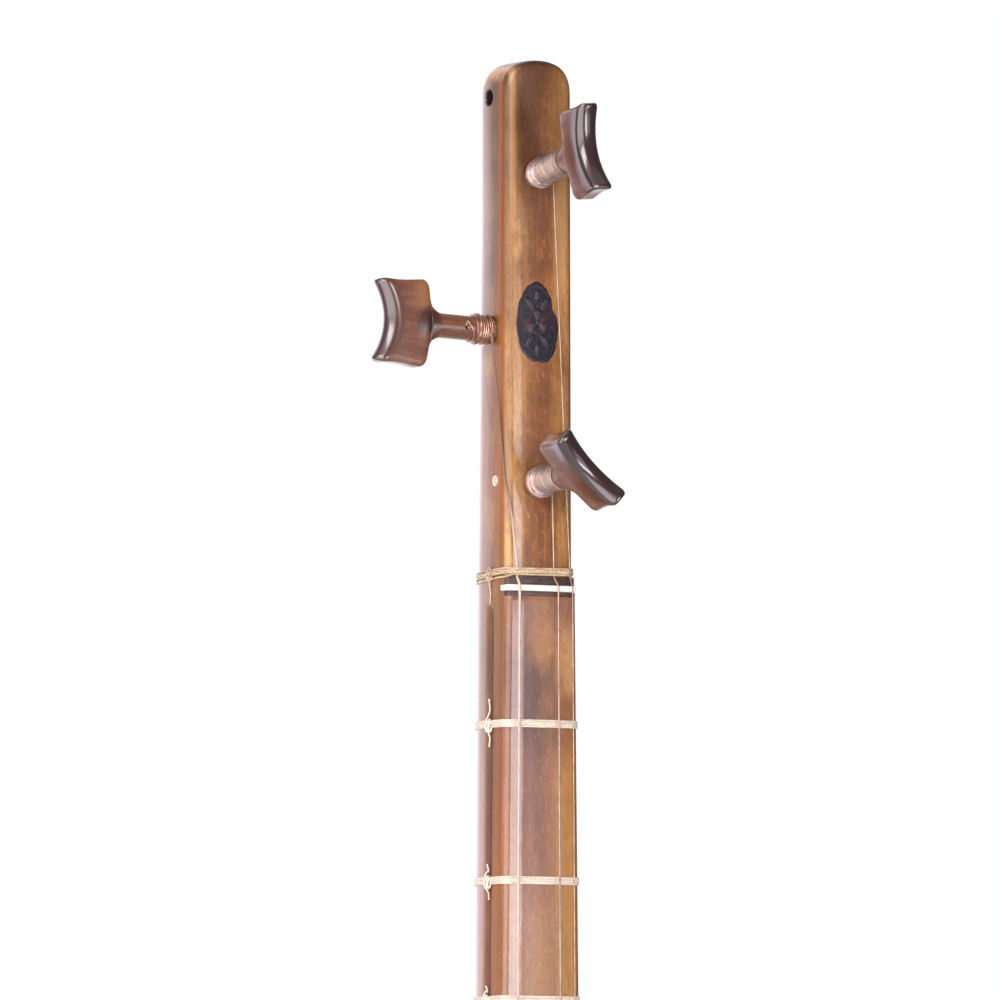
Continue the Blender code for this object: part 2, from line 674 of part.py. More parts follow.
def tail_cap():
    """Shell over the rib ends, from the ribs to a point on the soundboard's plane."""
    columns = 12
    last = S_TAIL - 0.4 / 80.0
    first = 0.0
    lo, hi = 1e-3, last
    for _ in range(60):  # where the section is just as deep as the edge
        first = (lo + hi) / 2
        _, straight, deep = bowl(first)
        if straight + deep < EDGE:
            lo = first
        else:
            hi = first
    rows = [first + (last - first) * f for f in (0.0, 0.12, 0.3, 0.55, 0.8, 1.0)]
    points, faces = [], []
    grids = []
    for inset in (0.0, RIB_THICK):
        grid = []
        for i, s in enumerate(rows):
            low = edge_angle(s)
            if i == 0:
                p = bowl_inside(s + 0.002, math.pi / 2, inset)
                points.append((0.0, -FRONT + EDGE, p[2]))
                grid.append([len(points) - 1] * (columns + 1))
                continue
            row = []
            for j in range(columns + 1):
                angle = low + (math.pi - 2 * low) * j / columns
                p = bowl_inside(s, angle, inset)
                points.append((p[0], max(p[1], -FRONT + EDGE), p[2]))
                row.append(len(points) - 1)
            grid.append(row)
        grids.append(grid)
    for grid in grids:
        for i in range(len(rows) - 1):
            for j in range(columns):
                a, b, c, d = grid[i][j], grid[i][j + 1], grid[i + 1][j + 1], grid[i + 1][j]
                faces.append((a, c, d) if a == b else (a, b, c, d))
    outer, inner = grids
    for i in range(len(rows) - 1):
        for j in (0, columns):
            faces.append((outer[i][j], outer[i + 1][j], inner[i + 1][j], inner[i][j]))
    for j in range(columns):
        faces.append((outer[-1][j], outer[-1][j + 1], inner[-1][j + 1], inner[-1][j]))
    return place(mesh_of("tail_cap", points, faces), "tail_cap", WALNUT, smooth=30.0)


tail_cap()

# soundboard outline, heel to tail
outline = []
side_count = 22
for i in range(side_count + 1):
    s = S_HEEL * (1 - i / side_count) ** 1.0
    if i == side_count:
        outline.append((0.0, TAIL_Z))
    else:
        outline.append((bowl(s)[0], TAIL_Z + BOWL_LONG * s * s - (2 * GAP if i == 0 else 0)))
outline += [(-x, z) for x, z in reversed(outline[:-1])]
facing = PLANE_XZ.copy()
facing.translation = Vector((0, -(FRONT - BOARD_SOUND / 2), 0)) * MM
soundboard = flat_outline("soundboard", outline, BOARD_SOUND, MULBERRY, facing)

holes = [(0.0, -700.0)]
holes += [(8.0 * math.sin(math.radians(60 * i)), -700.0 + 8.0 * math.cos(math.radians(60 * i))) for i in range(6)]
for side in (-1, 1):
    holes += [(side * 38.0 + 4.6 * math.sin(math.radians(120 * i)), -738.0 + 4.6 * math.cos(math.radians(120 * i))) for i in range(3)]
bm = bmesh.new()
for x, z in holes:
    bmesh.ops.create_cone(
        bm, cap_ends=True, segments=10, radius1=1.5 * MM, radius2=1.5 * MM, depth=8 * MM,
        matrix=Matrix.Translation(Vector((x, -FRONT + 1.4, z)) * MM) @ Matrix.Rotation(math.radians(90), 4, "X"),
    )
mesh = bpy.data.meshes.new("sound_holes")
bm.to_mesh(mesh)
bm.free()
boolean(soundboard, place(mesh, "sound_holes", None, cutters, smooth=0), "DIFFERENCE", "sound holes")

# ---- bridge: low bar on two feet ----
STRING_X = {"bass": (-6.98, -14.2), "treble_1": (4.42, 4.6), "treble_2": (7.94, 9.2)}  # at the nut, at the bridge
half_foot, arch = 30.0, 19.0
outline = [(-half_foot, 0), (-arch - 1, 0), (-arch + 2.5, 2.2), (arch - 2.5, 2.2), (arch + 1, 0), (half_foot, 0), (half_foot - 0.5, 1.6), (22.0, 4.6), (17.5, BRIDGE_HIGH), (-17.5, BRIDGE_HIGH), (-22.0, 4.6), (-half_foot + 0.5, 1.6)]
stand = Matrix(((1, 0, 0, 0), (0, -1, 0, 0), (0, 0, -1, 0), (0, 0, 0, 1)))
stand.translation = Vector((0, -FRONT - GAP, BRIDGE_Z)) * MM
flat_outline("bridge", outline, 4.4, PEG_WOOD, stand, bevel=0.5, segments=1)

# ---- tail: saddle on the edge, holder and pins ----
saddle_top = FRONT + 1.6
box("tail_saddle", (-20, -saddle_top, TAIL_Z + 1.6), (20, -FRONT - GAP, TAIL_Z + 4.6), BONE, bevel=0.5)
HOLDER_Z = TAIL_Z - 0.6
holder = box("string_holder", (-19, 3.0, HOLDER_Z - 4.2), (19, 11.0, HOLDER_Z), PEG_WOOD, bevel=0.9)
PIN_Y = 7.0
pins_x = {"bass": -12.5, "treble_1": 4.2, "treble_2": 10.5}
for name, x in pins_x.items():
    hole = cylinder(f"pin_hole_{name}", 0.9 + 0.05, -5.2, 4, 12, frame_at((x, PIN_Y, HOLDER_Z - 4.2), (0, 0, -1), (1, 0, 0)))
    boolean(holder, hole, "DIFFERENCE", f"pin hole {name}")
    head = [(0, 2.4), (0.9, 2.4), (1.35, 2.0), (1.35, 1.5), (0.9, 1.2), (0.9, -3.4), (0, -3.4)]
    turned(f"hitch_pin_{name}", head, 12, PIN_METAL, frame_at((x, PIN_Y, HOLDER_Z - 4.2), (0, 0, -1), (1, 0, 0)))


# ---- strings ----
def string_route(name, start, extra):
    """From the winding over nut and bridge, over the tail saddle and down to its pin."""
    r = STRING_R[name]
    x_nut, x_bridge = STRING_X[name]
    lift = GAP + r
    nut = -(NUT_TOP + lift)
    top = -(FRONT + GAP + BRIDGE_HIGH + lift)
    tie = -(HEAD_FRONT + 0.2 + r)
    x_tie = x_nut + (start[0] - x_nut) * 0.05
    x_tail = x_bridge + (x_bridge - x_nut) * (BRIDGE_Z - TAIL_Z - 3) / SCALE * 0.3
    saddle = -(saddle_top + lift)
    pin = pins_x[name]
    route = [start, *extra]
    route += [(x_tie, tie, TIE_Z + 1.6), (x_tie, tie, TIE_Z - 1.3)]
    route += [(x_nut, nut, NUT_Z + NUT_THICK - 0.2), (x_nut, nut, NUT_Z + 0.2)]
    route += [(x_bridge, top, BRIDGE_Z + 1.6), (x_bridge, top, BRIDGE_Z - 1.6)]
    route += [(x_tail, saddle, TAIL_Z + 4.4), (x_tail, saddle + 0.25, TAIL_Z + 1.4)]
    route += [(x_tail, -FRONT - 0.6, TAIL_Z - lift - 0.3), (blend(x_tail, pin, 0.5), -4.0, TAIL_Z - lift - 0.9)]
    side = 1.35 + r + 0.05
    route += [(pin + side, 2.0, HOLDER_Z - 4.2 - 0.75), (pin + side, PIN_Y, HOLDER_Z - 4.2 - 0.75)]
    return route


def departure(label, name, along, side):
    """Point where the string leaves the winding's radius, with room to turn."""
    peg = PEGS[label]
    reach = peg["winding"][2] + STRING_R[name] + LOOSE
    at = Vector(peg["at"]) + Vector(peg["out"]) * along
    return tuple(at + Vector(side) * reach)


start = departure("side", "bass", 2.3, (0, -1, 0))
half, straight, deep, plane = neck_shape(-100.0)
corner_x, corner_y = -half + HEAD_CORNER, -plane + HEAD_CORNER
wrap = HEAD_CORNER + STRING_R["bass"] + 0.25
around = []
for degrees, z in ((36.0, -99.0), (52.0, -103.0), (68.0, -108.0)):
    a = math.radians(degrees)
    around.append((corner_x - wrap * math.cos(a), corner_y - wrap * math.sin(a), z))
tube("string_bass", string_route("bass", start, around), STRING_R["bass"], BRONZE)
tube("string_treble_1", string_route("treble_1", departure("low", "treble_1", 1.2, (1, 0, 0)), []), STRING_R["treble_1"], STEEL)
tube("string_treble_2", string_route("treble_2", departure("top", "treble_2", 1.3, (1, 0, 0)), []), STRING_R["treble_2"], STEEL)
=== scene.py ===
import math

import bmesh
import bpy
import numpy as np
from mathutils import Matrix, Vector


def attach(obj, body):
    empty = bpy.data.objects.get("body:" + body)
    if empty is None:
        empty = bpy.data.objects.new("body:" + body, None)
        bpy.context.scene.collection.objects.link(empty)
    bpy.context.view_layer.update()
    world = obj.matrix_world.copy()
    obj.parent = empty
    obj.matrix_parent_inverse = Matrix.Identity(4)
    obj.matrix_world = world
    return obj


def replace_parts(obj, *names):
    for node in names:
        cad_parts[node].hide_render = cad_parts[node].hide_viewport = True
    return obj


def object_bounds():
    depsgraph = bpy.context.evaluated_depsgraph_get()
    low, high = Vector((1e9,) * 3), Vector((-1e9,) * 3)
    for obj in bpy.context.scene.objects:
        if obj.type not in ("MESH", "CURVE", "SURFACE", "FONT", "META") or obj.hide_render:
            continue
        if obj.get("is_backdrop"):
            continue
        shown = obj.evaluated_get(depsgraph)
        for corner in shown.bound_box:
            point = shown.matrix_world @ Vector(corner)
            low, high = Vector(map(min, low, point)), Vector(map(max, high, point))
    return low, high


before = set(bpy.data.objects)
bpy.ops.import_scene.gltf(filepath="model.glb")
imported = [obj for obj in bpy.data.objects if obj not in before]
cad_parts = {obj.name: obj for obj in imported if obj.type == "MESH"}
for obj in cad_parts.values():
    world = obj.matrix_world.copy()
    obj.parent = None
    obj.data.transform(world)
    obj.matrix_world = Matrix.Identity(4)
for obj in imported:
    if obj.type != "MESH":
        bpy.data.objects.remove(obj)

CAD_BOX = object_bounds()
MM = 0.001

# ======================================================================== camera
# It stands 4 m in front, 29 degrees round to the left of the front's normal, and looks slightly up.
YAW = math.radians(29.0)
PITCH = math.radians(3.80)
camera_data = bpy.data.cameras.new("camera")
camera_data.sensor_width = 36.0
camera_data.lens = 561.6
camera_data.clip_start, camera_data.clip_end = 0.1, 60.0
camera = bpy.data.objects.new("camera", camera_data)
bpy.context.scene.collection.objects.link(camera)
RIGHT = Vector((math.cos(YAW), -math.sin(YAW), 0))
AHEAD = Vector((math.sin(YAW), math.cos(YAW), 0))
camera.location = RIGHT * -0.00564 - AHEAD * 4.0 + Vector((0, 0, -0.369))
look = AHEAD * math.cos(PITCH) + Vector((0, 0, math.sin(PITCH)))
camera.rotation_euler = look.to_track_quat("-Z", "Y").to_euler()
bpy.context.scene.camera = camera
bpy.context.scene.view_settings.view_transform = "Standard"
bpy.context.scene.view_settings.look = "None"

# ======================================================================== dimensions, in millimetres
FRONT = 10.33
HEAD_FRONT = 9.2
HEAD_TOP = 9.4
DOME_BASE = 0.3
DOME_POWER = 2.6
DOME_EDGE = 1.4
HEAD_HALF = (9.75, 10.1)
HEAD_STRAIGHT = (9.9, 11.4)
HEAD_CORNER = 2.8
NUT_Z = -127.4
NUT_THICK = 1.9
NUT_FLOOR = 7.1
NUT_TOP = FRONT + 0.55
NUT_SEEN = 1.62  # thickness of the nut where it shows
STRIP_UPPER = (-123.5, -125.3)
STRIP_LOWER = (-127.6, -128.6)
BOARD_TOP = -128.8
BOARD_THICK = 2.2
GAP = 0.2
NECK_HALF = 10.2
NECK_TAPER = 0.01035
NECK_STRAIGHT = 12.6
STRAIGHT_TAPER = 0.006
GROOVE_BACK = 8.3
SCALE = 670.0
FRET_CENTS = (90, 203, 294, 396, 498, 590, 702, 794, 898, 996, 1094, 1200, 1292, 1404)
JOIN = 385.0
BOWL_LONG = 390.0
BOWL_HALF = 92.5
BOWL_DEEP = 138.0
RIBS = 9
RIB_THICK = 3.0
BOARD_SOUND = 2.8
HEEL = 15.6
SHAFT_R = 3.2
STRING_R = {"bass": 0.34, "treble_1": 0.25, "treble_2": 0.19}
BRIDGE_HIGH = 6.2
JOIN_Z = NUT_Z - JOIN
TAIL_Z = JOIN_Z - BOWL_LONG
HEEL_Z = JOIN_Z - HEEL
BRIDGE_Z = NUT_Z - SCALE
TIE_Z = -122.3
CROWN_R = 50.0  # radius of the gentle crown across the front faces
SIDE_R = 95.0  # and of the sides


def blend(a, b, t):
    t = min(max(t, 0.0), 1.0)
    return a + (b - a) * t


def smooth(t):
    t = min(max(t, 0.0), 1.0)
    return t * t * (3 - 2 * t)


def quartic(start, slope, at, peak, end):
    root = math.sqrt(1 - at)
    value = peak / root
    rate = value * 0.5 / (1 - at)
    first = slope + start / 2
    left = [[at**2, at**3, at**4], [2 * at, 3 * at**2, 4 * at**3], [1, 1, 1]]
    right = [value - start - first * at, rate - first, end - start - first]
    return [start, first, *np.linalg.solve(np.array(left), np.array(right))]


def neck_half(below):
    return NECK_HALF + NECK_TAPER * below


HALF_AT_JOIN = neck_half(JOIN)
WIDTH_CURVE = quartic(HALF_AT_JOIN, 0.17 * BOWL_LONG, 0.70, BOWL_HALF, 257.0)
DEPTH_CURVE = quartic(27.0, 0.40 * BOWL_LONG, 0.66, BOWL_DEEP, 272.0)


def polynomial(curve, t):
    return sum(c * t**i for i, c in enumerate(curve))


def bowl(s):
    t = 1 - s * s
    half = s * polynomial(WIDTH_CURVE, t)
    deep = s * polynomial(DEPTH_CURVE, t)
    straight = s * (9.0 - 3.0 * t)
    return half, straight, deep - straight


def bowl_point(s, angle):
    half, straight, deep = bowl(s)
    z = TAIL_Z + BOWL_LONG * s * s
    folded = angle if angle <= math.pi / 2 else math.pi - angle
    if folded < 0:
        x, y = half, straight + deep * folded
    else:
        x, y = half * math.cos(folded), straight + deep * math.sin(folded)
    return np.array((x if angle <= math.pi / 2 else -x, -FRONT + y, z))


def bowl_inside(s, angle, inset):
    ds, da = 1e-3, 1e-3
    along = bowl_point(min(s + ds, 1.0), angle) - bowl_point(max(s - ds, 1e-4), angle)
    across = bowl_point(s, angle + da) - bowl_point(s, angle - da)
    normal = np.cross(along, across)
    normal /= np.linalg.norm(normal)
    point = bowl_point(s, angle)
    centre = np.array((0.0, -FRONT + 20.0, 0.0))
    centre[2] = blend(TAIL_Z + 120, JOIN_Z - 20, (point[2] - TAIL_Z) / BOWL_LONG)
    if np.dot(normal, point - centre) < 0:
        normal = -normal
    return point - normal * inset


EDGE = BOARD_SOUND + GAP


def edge_angle(s, edge=EDGE):
    _, straight, deep = bowl(s)
    if straight >= edge:
        return (edge - straight) / deep
    return math.asin(min(1.0, (edge - straight) / deep))


S_HEEL = math.sqrt(1 - HEEL / BOWL_LONG)
HALF_AT_HEEL, STRAIGHT_AT_HEEL, ROUND_AT_HEEL = bowl(S_HEEL)


def neck_shape(z):
    below = NUT_Z - z
    if z > STRIP_UPPER[0]:
        down = min(max(-z / 120.0, 0.0), 1.0)
        half = blend(HEAD_HALF[0], HEAD_HALF[1], down)
        straight = blend(HEAD_STRAIGHT[0], HEAD_STRAIGHT[1], down)
        return half, straight, half, HEAD_FRONT
    plane = FRONT - BOARD_THICK - GAP
    half = neck_half(max(below, 0.0))
    straight = NECK_STRAIGHT - STRAIGHT_TAPER * below
    deep = half
    start = 300.0
    if below > start:
        t = (below - start) / (JOIN + HEEL - start)
        half = blend(half, HALF_AT_HEEL, max(0.0, (below - JOIN + 45) / (HEEL + 45)) ** 2)
        ease = t * t * t * (t * (6 * t - 15) + 10)
        straight = blend(straight, STRAIGHT_AT_HEEL, ease)
        deep = blend(deep, ROUND_AT_HEEL, 0.25 * ease + 0.75 * t**3)
    return half, straight - (FRONT - plane), deep, plane


# ======================================================================== mesh helpers
COLLECTION = bpy.context.scene.collection


def mesh_piece(name, points, faces, mat, smooth_angle=35.0):
    """New object from points in millimetres; outward normals."""
    mesh = bpy.data.meshes.new(name)
    pts = np.asarray(points, float) * MM
    mesh.from_pydata([tuple(p) for p in pts], [], [tuple(f) for f in faces])
    bm = bmesh.new()
    bm.from_mesh(mesh)
    bmesh.ops.recalc_face_normals(bm, faces=bm.faces)
    bm.to_mesh(mesh)
    bm.free()
    if mat is not None:
        mesh.materials.append(mat)
    made = bpy.data.objects.new(name, mesh)
    COLLECTION.objects.link(made)
    shade(made, smooth_angle)
    return made


def shade(made, smooth_angle):
    made.data.shade_smooth()
    if smooth_angle:
        made.data.set_sharp_from_angle(angle=math.radians(smooth_angle))


def rings_mesh(rings, closed=False, caps=True, base=0, strip_end=False):
    """Points and faces of a skin over rings of equal count. strip_end closes the last ring with strips across it."""
    count = len(rings[0])
    points = [p for ring in rings for p in ring]
    faces = []
    for i in range(len(rings) if closed else len(rings) - 1):
        a, b = i * count, ((i + 1) % len(rings)) * count
        for j in range(count):
            k = (j + 1) % count
            faces.append((base + a + j, base + a + k, base + b + k, base + b + j))
    if caps and not closed:
        faces.append(tuple(base + j for j in range(count)))
        last = base + (len(rings) - 1) * count
        if strip_end:
            for j in range(count // 2):
                quad = (last + j, last + j + 1, last + (count - j - 1) % count, last + (count - j) % count)
                faces.append(tuple(dict.fromkeys(quad)))
        else:
            faces.append(tuple(last + j for j in range(count)))
    return points, faces


def loft(name, rings, mat, closed=False, smooth_angle=35.0):
    return mesh_piece(name, *rings_mesh(rings, closed), mat, smooth_angle)


def sweep_rings(path, radius, sides=10, closed=False):
    """Rings of a round cord along the path, without twist. radius is a number or a list."""
    path = np.asarray(path, float)
    n = len(path)
    radius = np.broadcast_to(np.asarray(radius, float), (n,))
    if closed:
        tangents = np.roll(path, -1, 0) - np.roll(path, 1, 0)
    else:
        tangents = np.gradient(path, axis=0)
    tangents /= np.maximum(np.linalg.norm(tangents, axis=1), 1e-9)[:, None]
    start = np.array((0.0, 0.0, 1.0)) if abs(tangents[0][2]) < 0.9 else np.array((1.0, 0.0, 0.0))
    normal = np.cross(tangents[0], start)
    normal /= np.linalg.norm(normal)
    rings = []
    angles = np.linspace(0, 2 * math.pi, sides, endpoint=False)
    for i in range(n):
        t = tangents[i]
        normal = normal - t * (normal @ t)
        normal /= np.linalg.norm(normal)
        other = np.cross(t, normal)
        rings.append([tuple(path[i] + radius[i] * (math.cos(a) * normal + math.sin(a) * other)) for a in angles])
    return rings


def catmull(points, per=8):
    pts = [np.asarray(p, float) for p in points]
    pts = [2 * pts[0] - pts[1], *pts, 2 * pts[-1] - pts[-2]]
    out = []
    for i in range(1, len(pts) - 2):
        p0, p1, p2, p3 = pts[i - 1 : i + 3]
        for j in range(per):
            t = j / per
            out.append(0.5 * (2 * p1 + (p2 - p0) * t + (2 * p0 - 5 * p1 + 4 * p2 - p3) * t * t + (3 * p1 - p0 - 3 * p2 + p3) * t**3))
    out.append(pts[-2])
    return np.array(out)


def turned_rings(profile, matrix, sides=48):
    """Rings round the matrix's Z for a profile of (radius, height) in millimetres; the matrix's origin is in mm too."""
    rings = []
    for r, h in profile:
        ring = []
        for j in range(sides):
            a = 2 * math.pi * j / sides
            p = matrix @ Vector((r * math.cos(a), r * math.sin(a), h))
            ring.append(tuple(p))
        rings.append(ring)
    return rings


def baked(obj):
    """Applies obj's modifiers to a fresh mesh."""
    bpy.context.view_layer.update()
    graph = bpy.context.evaluated_depsgraph_get()
    mesh = bpy.data.meshes.new_from_object(obj.evaluated_get(graph))
    obj.modifiers.clear()
    old = obj.data
    obj.data = mesh
    bpy.data.meshes.remove(old)
    return obj


def cut(target, cutters, operation="DIFFERENCE"):
    for other in cutters:
        change = target.modifiers.new("cut", "BOOLEAN")
        change.operation = operation
        change.solver = "EXACT"
        change.object = other
    baked(target)
    for other in cutters:
        bpy.data.objects.remove(other, do_unlink=True)
    return target


def axis_matrix(origin, outward, side):
    """Matrix in millimetres whose Z runs along outward and whose X is as near side as can be."""
    z = Vector(outward).normalized()
    x = Vector(side)
    x = (x - z * x.dot(z)).normalized()
    made = Matrix((x, z.cross(x), z)).transposed().to_4x4()
    made.translation = Vector(origin)
    return made


def rod(name, radius, low, high, matrix, sides=48, mat=None):
    return loft(name, turned_rings([(radius, low), (radius, high)], matrix, sides), mat)


def block(name, low, high, mat=None):
    rings = []
    for z in (low[2], high[2]):
        rings.append([(low[0], low[1], z), (high[0], low[1], z), (high[0], high[1], z), (low[0], high[1], z)])
    return loft(name, rings, mat, smooth_angle=0)


def noise1(x, seed=0.0):
    """Smooth repeatable wobble between -1 and 1."""
    return (math.sin(x * 1.7 + seed * 5.1) + math.sin(x * 3.1 + seed * 2.3 + 1.3) * 0.6 + math.sin(x * 5.3 + seed * 7.7 + 0.4) * 0.3) / 1.9


# ======================================================================== section of the stem
def corner_arc(half, plane, back, radius, front_r, side_r, steps):
    """Left front corner between the crowned front and the bowed side: points from the front to the side."""
    xc, yc = -half + radius + 0.2, -plane + radius + 0.4
    for _ in range(12):
        tf = math.asin(min(0.9, (-xc) / front_r)) if front_r else 0.0
        xf = xc - radius * math.sin(tf)
        fy = -plane + (xf * xf / (2 * front_r) if front_r else 0.0)
        yc = fy + radius * math.cos(tf)
        ts = math.asin(min(0.9, max(0.0, back - yc) / side_r)) if side_r else 0.0
        ys = yc - radius * math.sin(ts)
        sx = -half + (max(0.0, back - ys) ** 2 / (2 * side_r) if side_r else 0.0)
        xc = sx + radius * math.cos(ts)
    out = []
    for i in range(steps + 1):
        a = tf + (math.pi / 2 - ts - tf) * i / steps
        out.append((xc - radius * math.sin(a), yc - radius * math.cos(a)))
    return out


def right_half(half):
    """The right side stands a little further out than the left along the neck and head."""
    return half + 0.74 * min(1.0, half / 9.6) * (1.0 - smooth((half - 11.9) / 1.2))


def section(half, straight, deep, plane, corner, out=0.0, front_r=CROWN_R, side_r=SIDE_R, groove=0.0, groove_y=0.0, fine=True):
    """Closed (x, y) outline: crowned front, rounded corners, bowed sides, round back. It runs front right to front left round the back and ends on the front."""
    back = -plane + straight
    half, plane, deep, corner = half + out, plane + out, deep + out, corner + out
    n_front, n_corner, n_side, n_back = (18, 8, 34, 36) if fine else (8, 4, 8, 20)
    left = corner_arc(half, plane, back, corner, front_r, side_r, n_corner)
    y0 = left[-1][1]
    side = []
    for i in range(1, n_side):
        y = y0 + (back - y0) * i / n_side
        x = -half + ((back - y) ** 2 / (2 * side_r) if side_r else 0.0)
        side.append((x, y))
    arc = []
    for i in range(n_back + 1):
        a = math.pi - math.pi * i / n_back
        arc.append((half * math.cos(a), back + deep * math.sin(a)))
    half_out = left + side
    broad = right_half(half)
    arc = [(x if x < 0 else x * broad / half, y) for x, y in arc]
    right = corner_arc(broad, plane, back, corner, front_r, 0.0, n_corner)  # the right side is straight
    y1 = right[-1][1]
    right += [(-broad, y1 + (back - y1) * i / n_side) for i in range(1, n_side)]
    ring = [(-x, y) for x, y in right]  # right side, front to back
    ring += list(reversed(arc))
    for x, y in reversed(half_out):
        if groove:
            x += groove * math.exp(-(((y - groove_y) / 0.95) ** 2))
        ring.append((x, y))
    x0, x1 = left[0][0], -right[0][0]
    for i in range(1, n_front):
        x = x0 + (x1 - x0) * i / n_front
        ring.append((x, -plane + (x * x / (2 * front_r) if front_r else 0.0)))
    return ring


def at_z(ring, z):
    return [(x, y, z) for x, y in ring]


# ======================================================================== materials
def srgb(r, g, b, a=1.0):
    def lin(c):
        c /= 255.0
        return c / 12.92 if c <= 0.04045 else ((c + 0.055) / 1.055) ** 2.4

    return (lin(r), lin(g), lin(b), a)


def grey(level):
    return (level, level, level, 1.0)


class Graph:
    """Small helper to write node trees."""

    def __init__(self, name):
        self.mat = bpy.data.materials.new(name)
        self.mat.use_nodes = True
        self.tree = self.mat.node_tree
        self.shader = self.tree.nodes["Principled BSDF"]
        self._mm = None

    def node(self, kind, inputs=None, **props):
        made = self.tree.nodes.new(kind)
        for key, value in props.items():
            setattr(made, key, value)
        for key, value in (inputs or {}).items():
            self.plug(made.inputs[key], value)
        return made

    def plug(self, socket, value):
        if isinstance(value, bpy.types.NodeSocket):
            self.tree.links.new(value, socket)
        else:
            socket.default_value = value

    def set(self, **values):
        for key, value in values.items():
            self.plug(self.shader.inputs[key.replace("_", " ")], value)

    def mm(self):
        """Place in the object's own frame, in millimetres."""
        if self._mm is None:
            place = self.node("ShaderNodeTexCoord").outputs["Object"]
            self._mm = self.node("ShaderNodeVectorMath", {0: place, 1: (1000, 1000, 1000)}, operation="MULTIPLY").outputs[0]
        return self._mm

    def attribute(self, name):
        return self.node("ShaderNodeAttribute", attribute_name=name, attribute_type="GEOMETRY").outputs["Vector"]

    def scaled(self, vector, scale, shift=(0, 0, 0)):
        return self.node("ShaderNodeVectorMath", {0: vector, 1: scale, 2: shift}, operation="MULTIPLY_ADD").outputs[0]

    def noise(self, vector, scale=(1, 1, 1), detail=3.0, rough=0.5, distortion=0.0, shift=(0, 0, 0), size=1.0):
        made = self.node("ShaderNodeTexNoise", {"Vector": self.scaled(vector, scale, shift), "Scale": size, "Detail": detail, "Roughness": rough, "Distortion": distortion})
        return made.outputs["Fac"]

    def math(self, operation, a, b=0.0, c=0.0, clamp=False):
        made = self.node("ShaderNodeMath", operation=operation, use_clamp=clamp)
        for i, value in enumerate((a, b, c)):
            if i < len(made.inputs):
                self.plug(made.inputs[i], value)
        return made.outputs[0]

    def span(self, value, a, b, c=0.0, d=1.0, kind="SMOOTHSTEP"):
        return self.node("ShaderNodeMapRange", {"Value": value, "From Min": a, "From Max": b, "To Min": c, "To Max": d}, interpolation_type=kind).outputs["Result"]

    def ramp(self, value, stops, mode="LINEAR"):
        made = self.node("ShaderNodeValToRGB", {"Fac": value})
        ramp = made.color_ramp
        ramp.interpolation = mode
        while len(ramp.elements) > 1:
            ramp.elements.remove(ramp.elements[-1])
        ramp.elements[0].position, ramp.elements[0].color = stops[0]
        for position, color in stops[1:]:
            ramp.elements.new(position).color = color
        return made.outputs["Color"]

    def mix(self, fac, a, b, mode="MIX"):
        made = self.node("ShaderNodeMix", data_type="RGBA", blend_type=mode)
        self.plug(made.inputs[0], fac)
        self.plug(made.inputs[6], a)
        self.plug(made.inputs[7], b)
        return made.outputs[2]

    def parts(self, vector):
        return self.node("ShaderNodeSeparateXYZ", {0: vector}).outputs

    def join(self, x, y, z):
        return self.node("ShaderNodeCombineXYZ", {0: x, 1: y, 2: z}).outputs[0]

    def bump(self, height, distance, strength=1.0, normal=None):
        inputs = {"Height": height, "Distance": distance, "Strength": strength}
        if normal is not None:
            inputs["Normal"] = normal
        return self.node("ShaderNodeBump", inputs).outputs["Normal"]


def streaks(g, p, along="z", coarse=1.0, seed=0.0):
    """Broad streaks, fibres and pores of wood whose grain runs along one axis; returns three values."""
    def axis(across, along_scale):
        return (across, across, along_scale) if along == "z" else (across, along_scale, across) if along == "y" else (along_scale, across, across)

    shift = (seed * 3.1, seed * 1.7, seed * 2.3)
    warp = g.noise(p, axis(0.05 * coarse, 0.012 * coarse), 2.0, 0.5, 0.0, shift)
    lift = g.math("MULTIPLY", g.math("SUBTRACT", warp, 0.5), 14.0)
    moved = g.node("ShaderNodeVectorMath", {0: p, 1: g.join(lift, lift, 0.0)}, operation="ADD").outputs[0]
    broad = g.noise(moved, axis(0.34 * coarse, 0.012 * coarse), 5.0, 0.55, 0.4, shift)
    fibre = g.noise(moved, axis(3.2 * coarse, 0.07 * coarse), 4.0, 0.6, 0.2, shift)
    pores = g.noise(p, axis(6.5 * coarse, 0.33 * coarse), 2.0, 0.5, 0.0, shift)
    return broad, fibre, pores


def lacquered(g, color, height, rough=0.34, coat=1.0, coat_rough=0.06, orange_peel=0.012, depth=0.00004):
    g.set(Base_Color=color, Roughness=rough)
    g.shader.inputs["Specular IOR Level"].default_value = 0.4
    g.shader.inputs["Coat Weight"].default_value = coat
    g.shader.inputs["Coat Roughness"].default_value = coat_rough
    g.shader.inputs["Coat IOR"].default_value = 1.5
    g.plug(g.shader.inputs["Normal"], g.bump(height, depth))
    skin = g.noise(g.mm(), (0.55, 0.55, 0.30), 2.0, 0.45)
    g.plug(g.shader.inputs["Coat Normal"], g.bump(skin, orange_peel * 0.001))


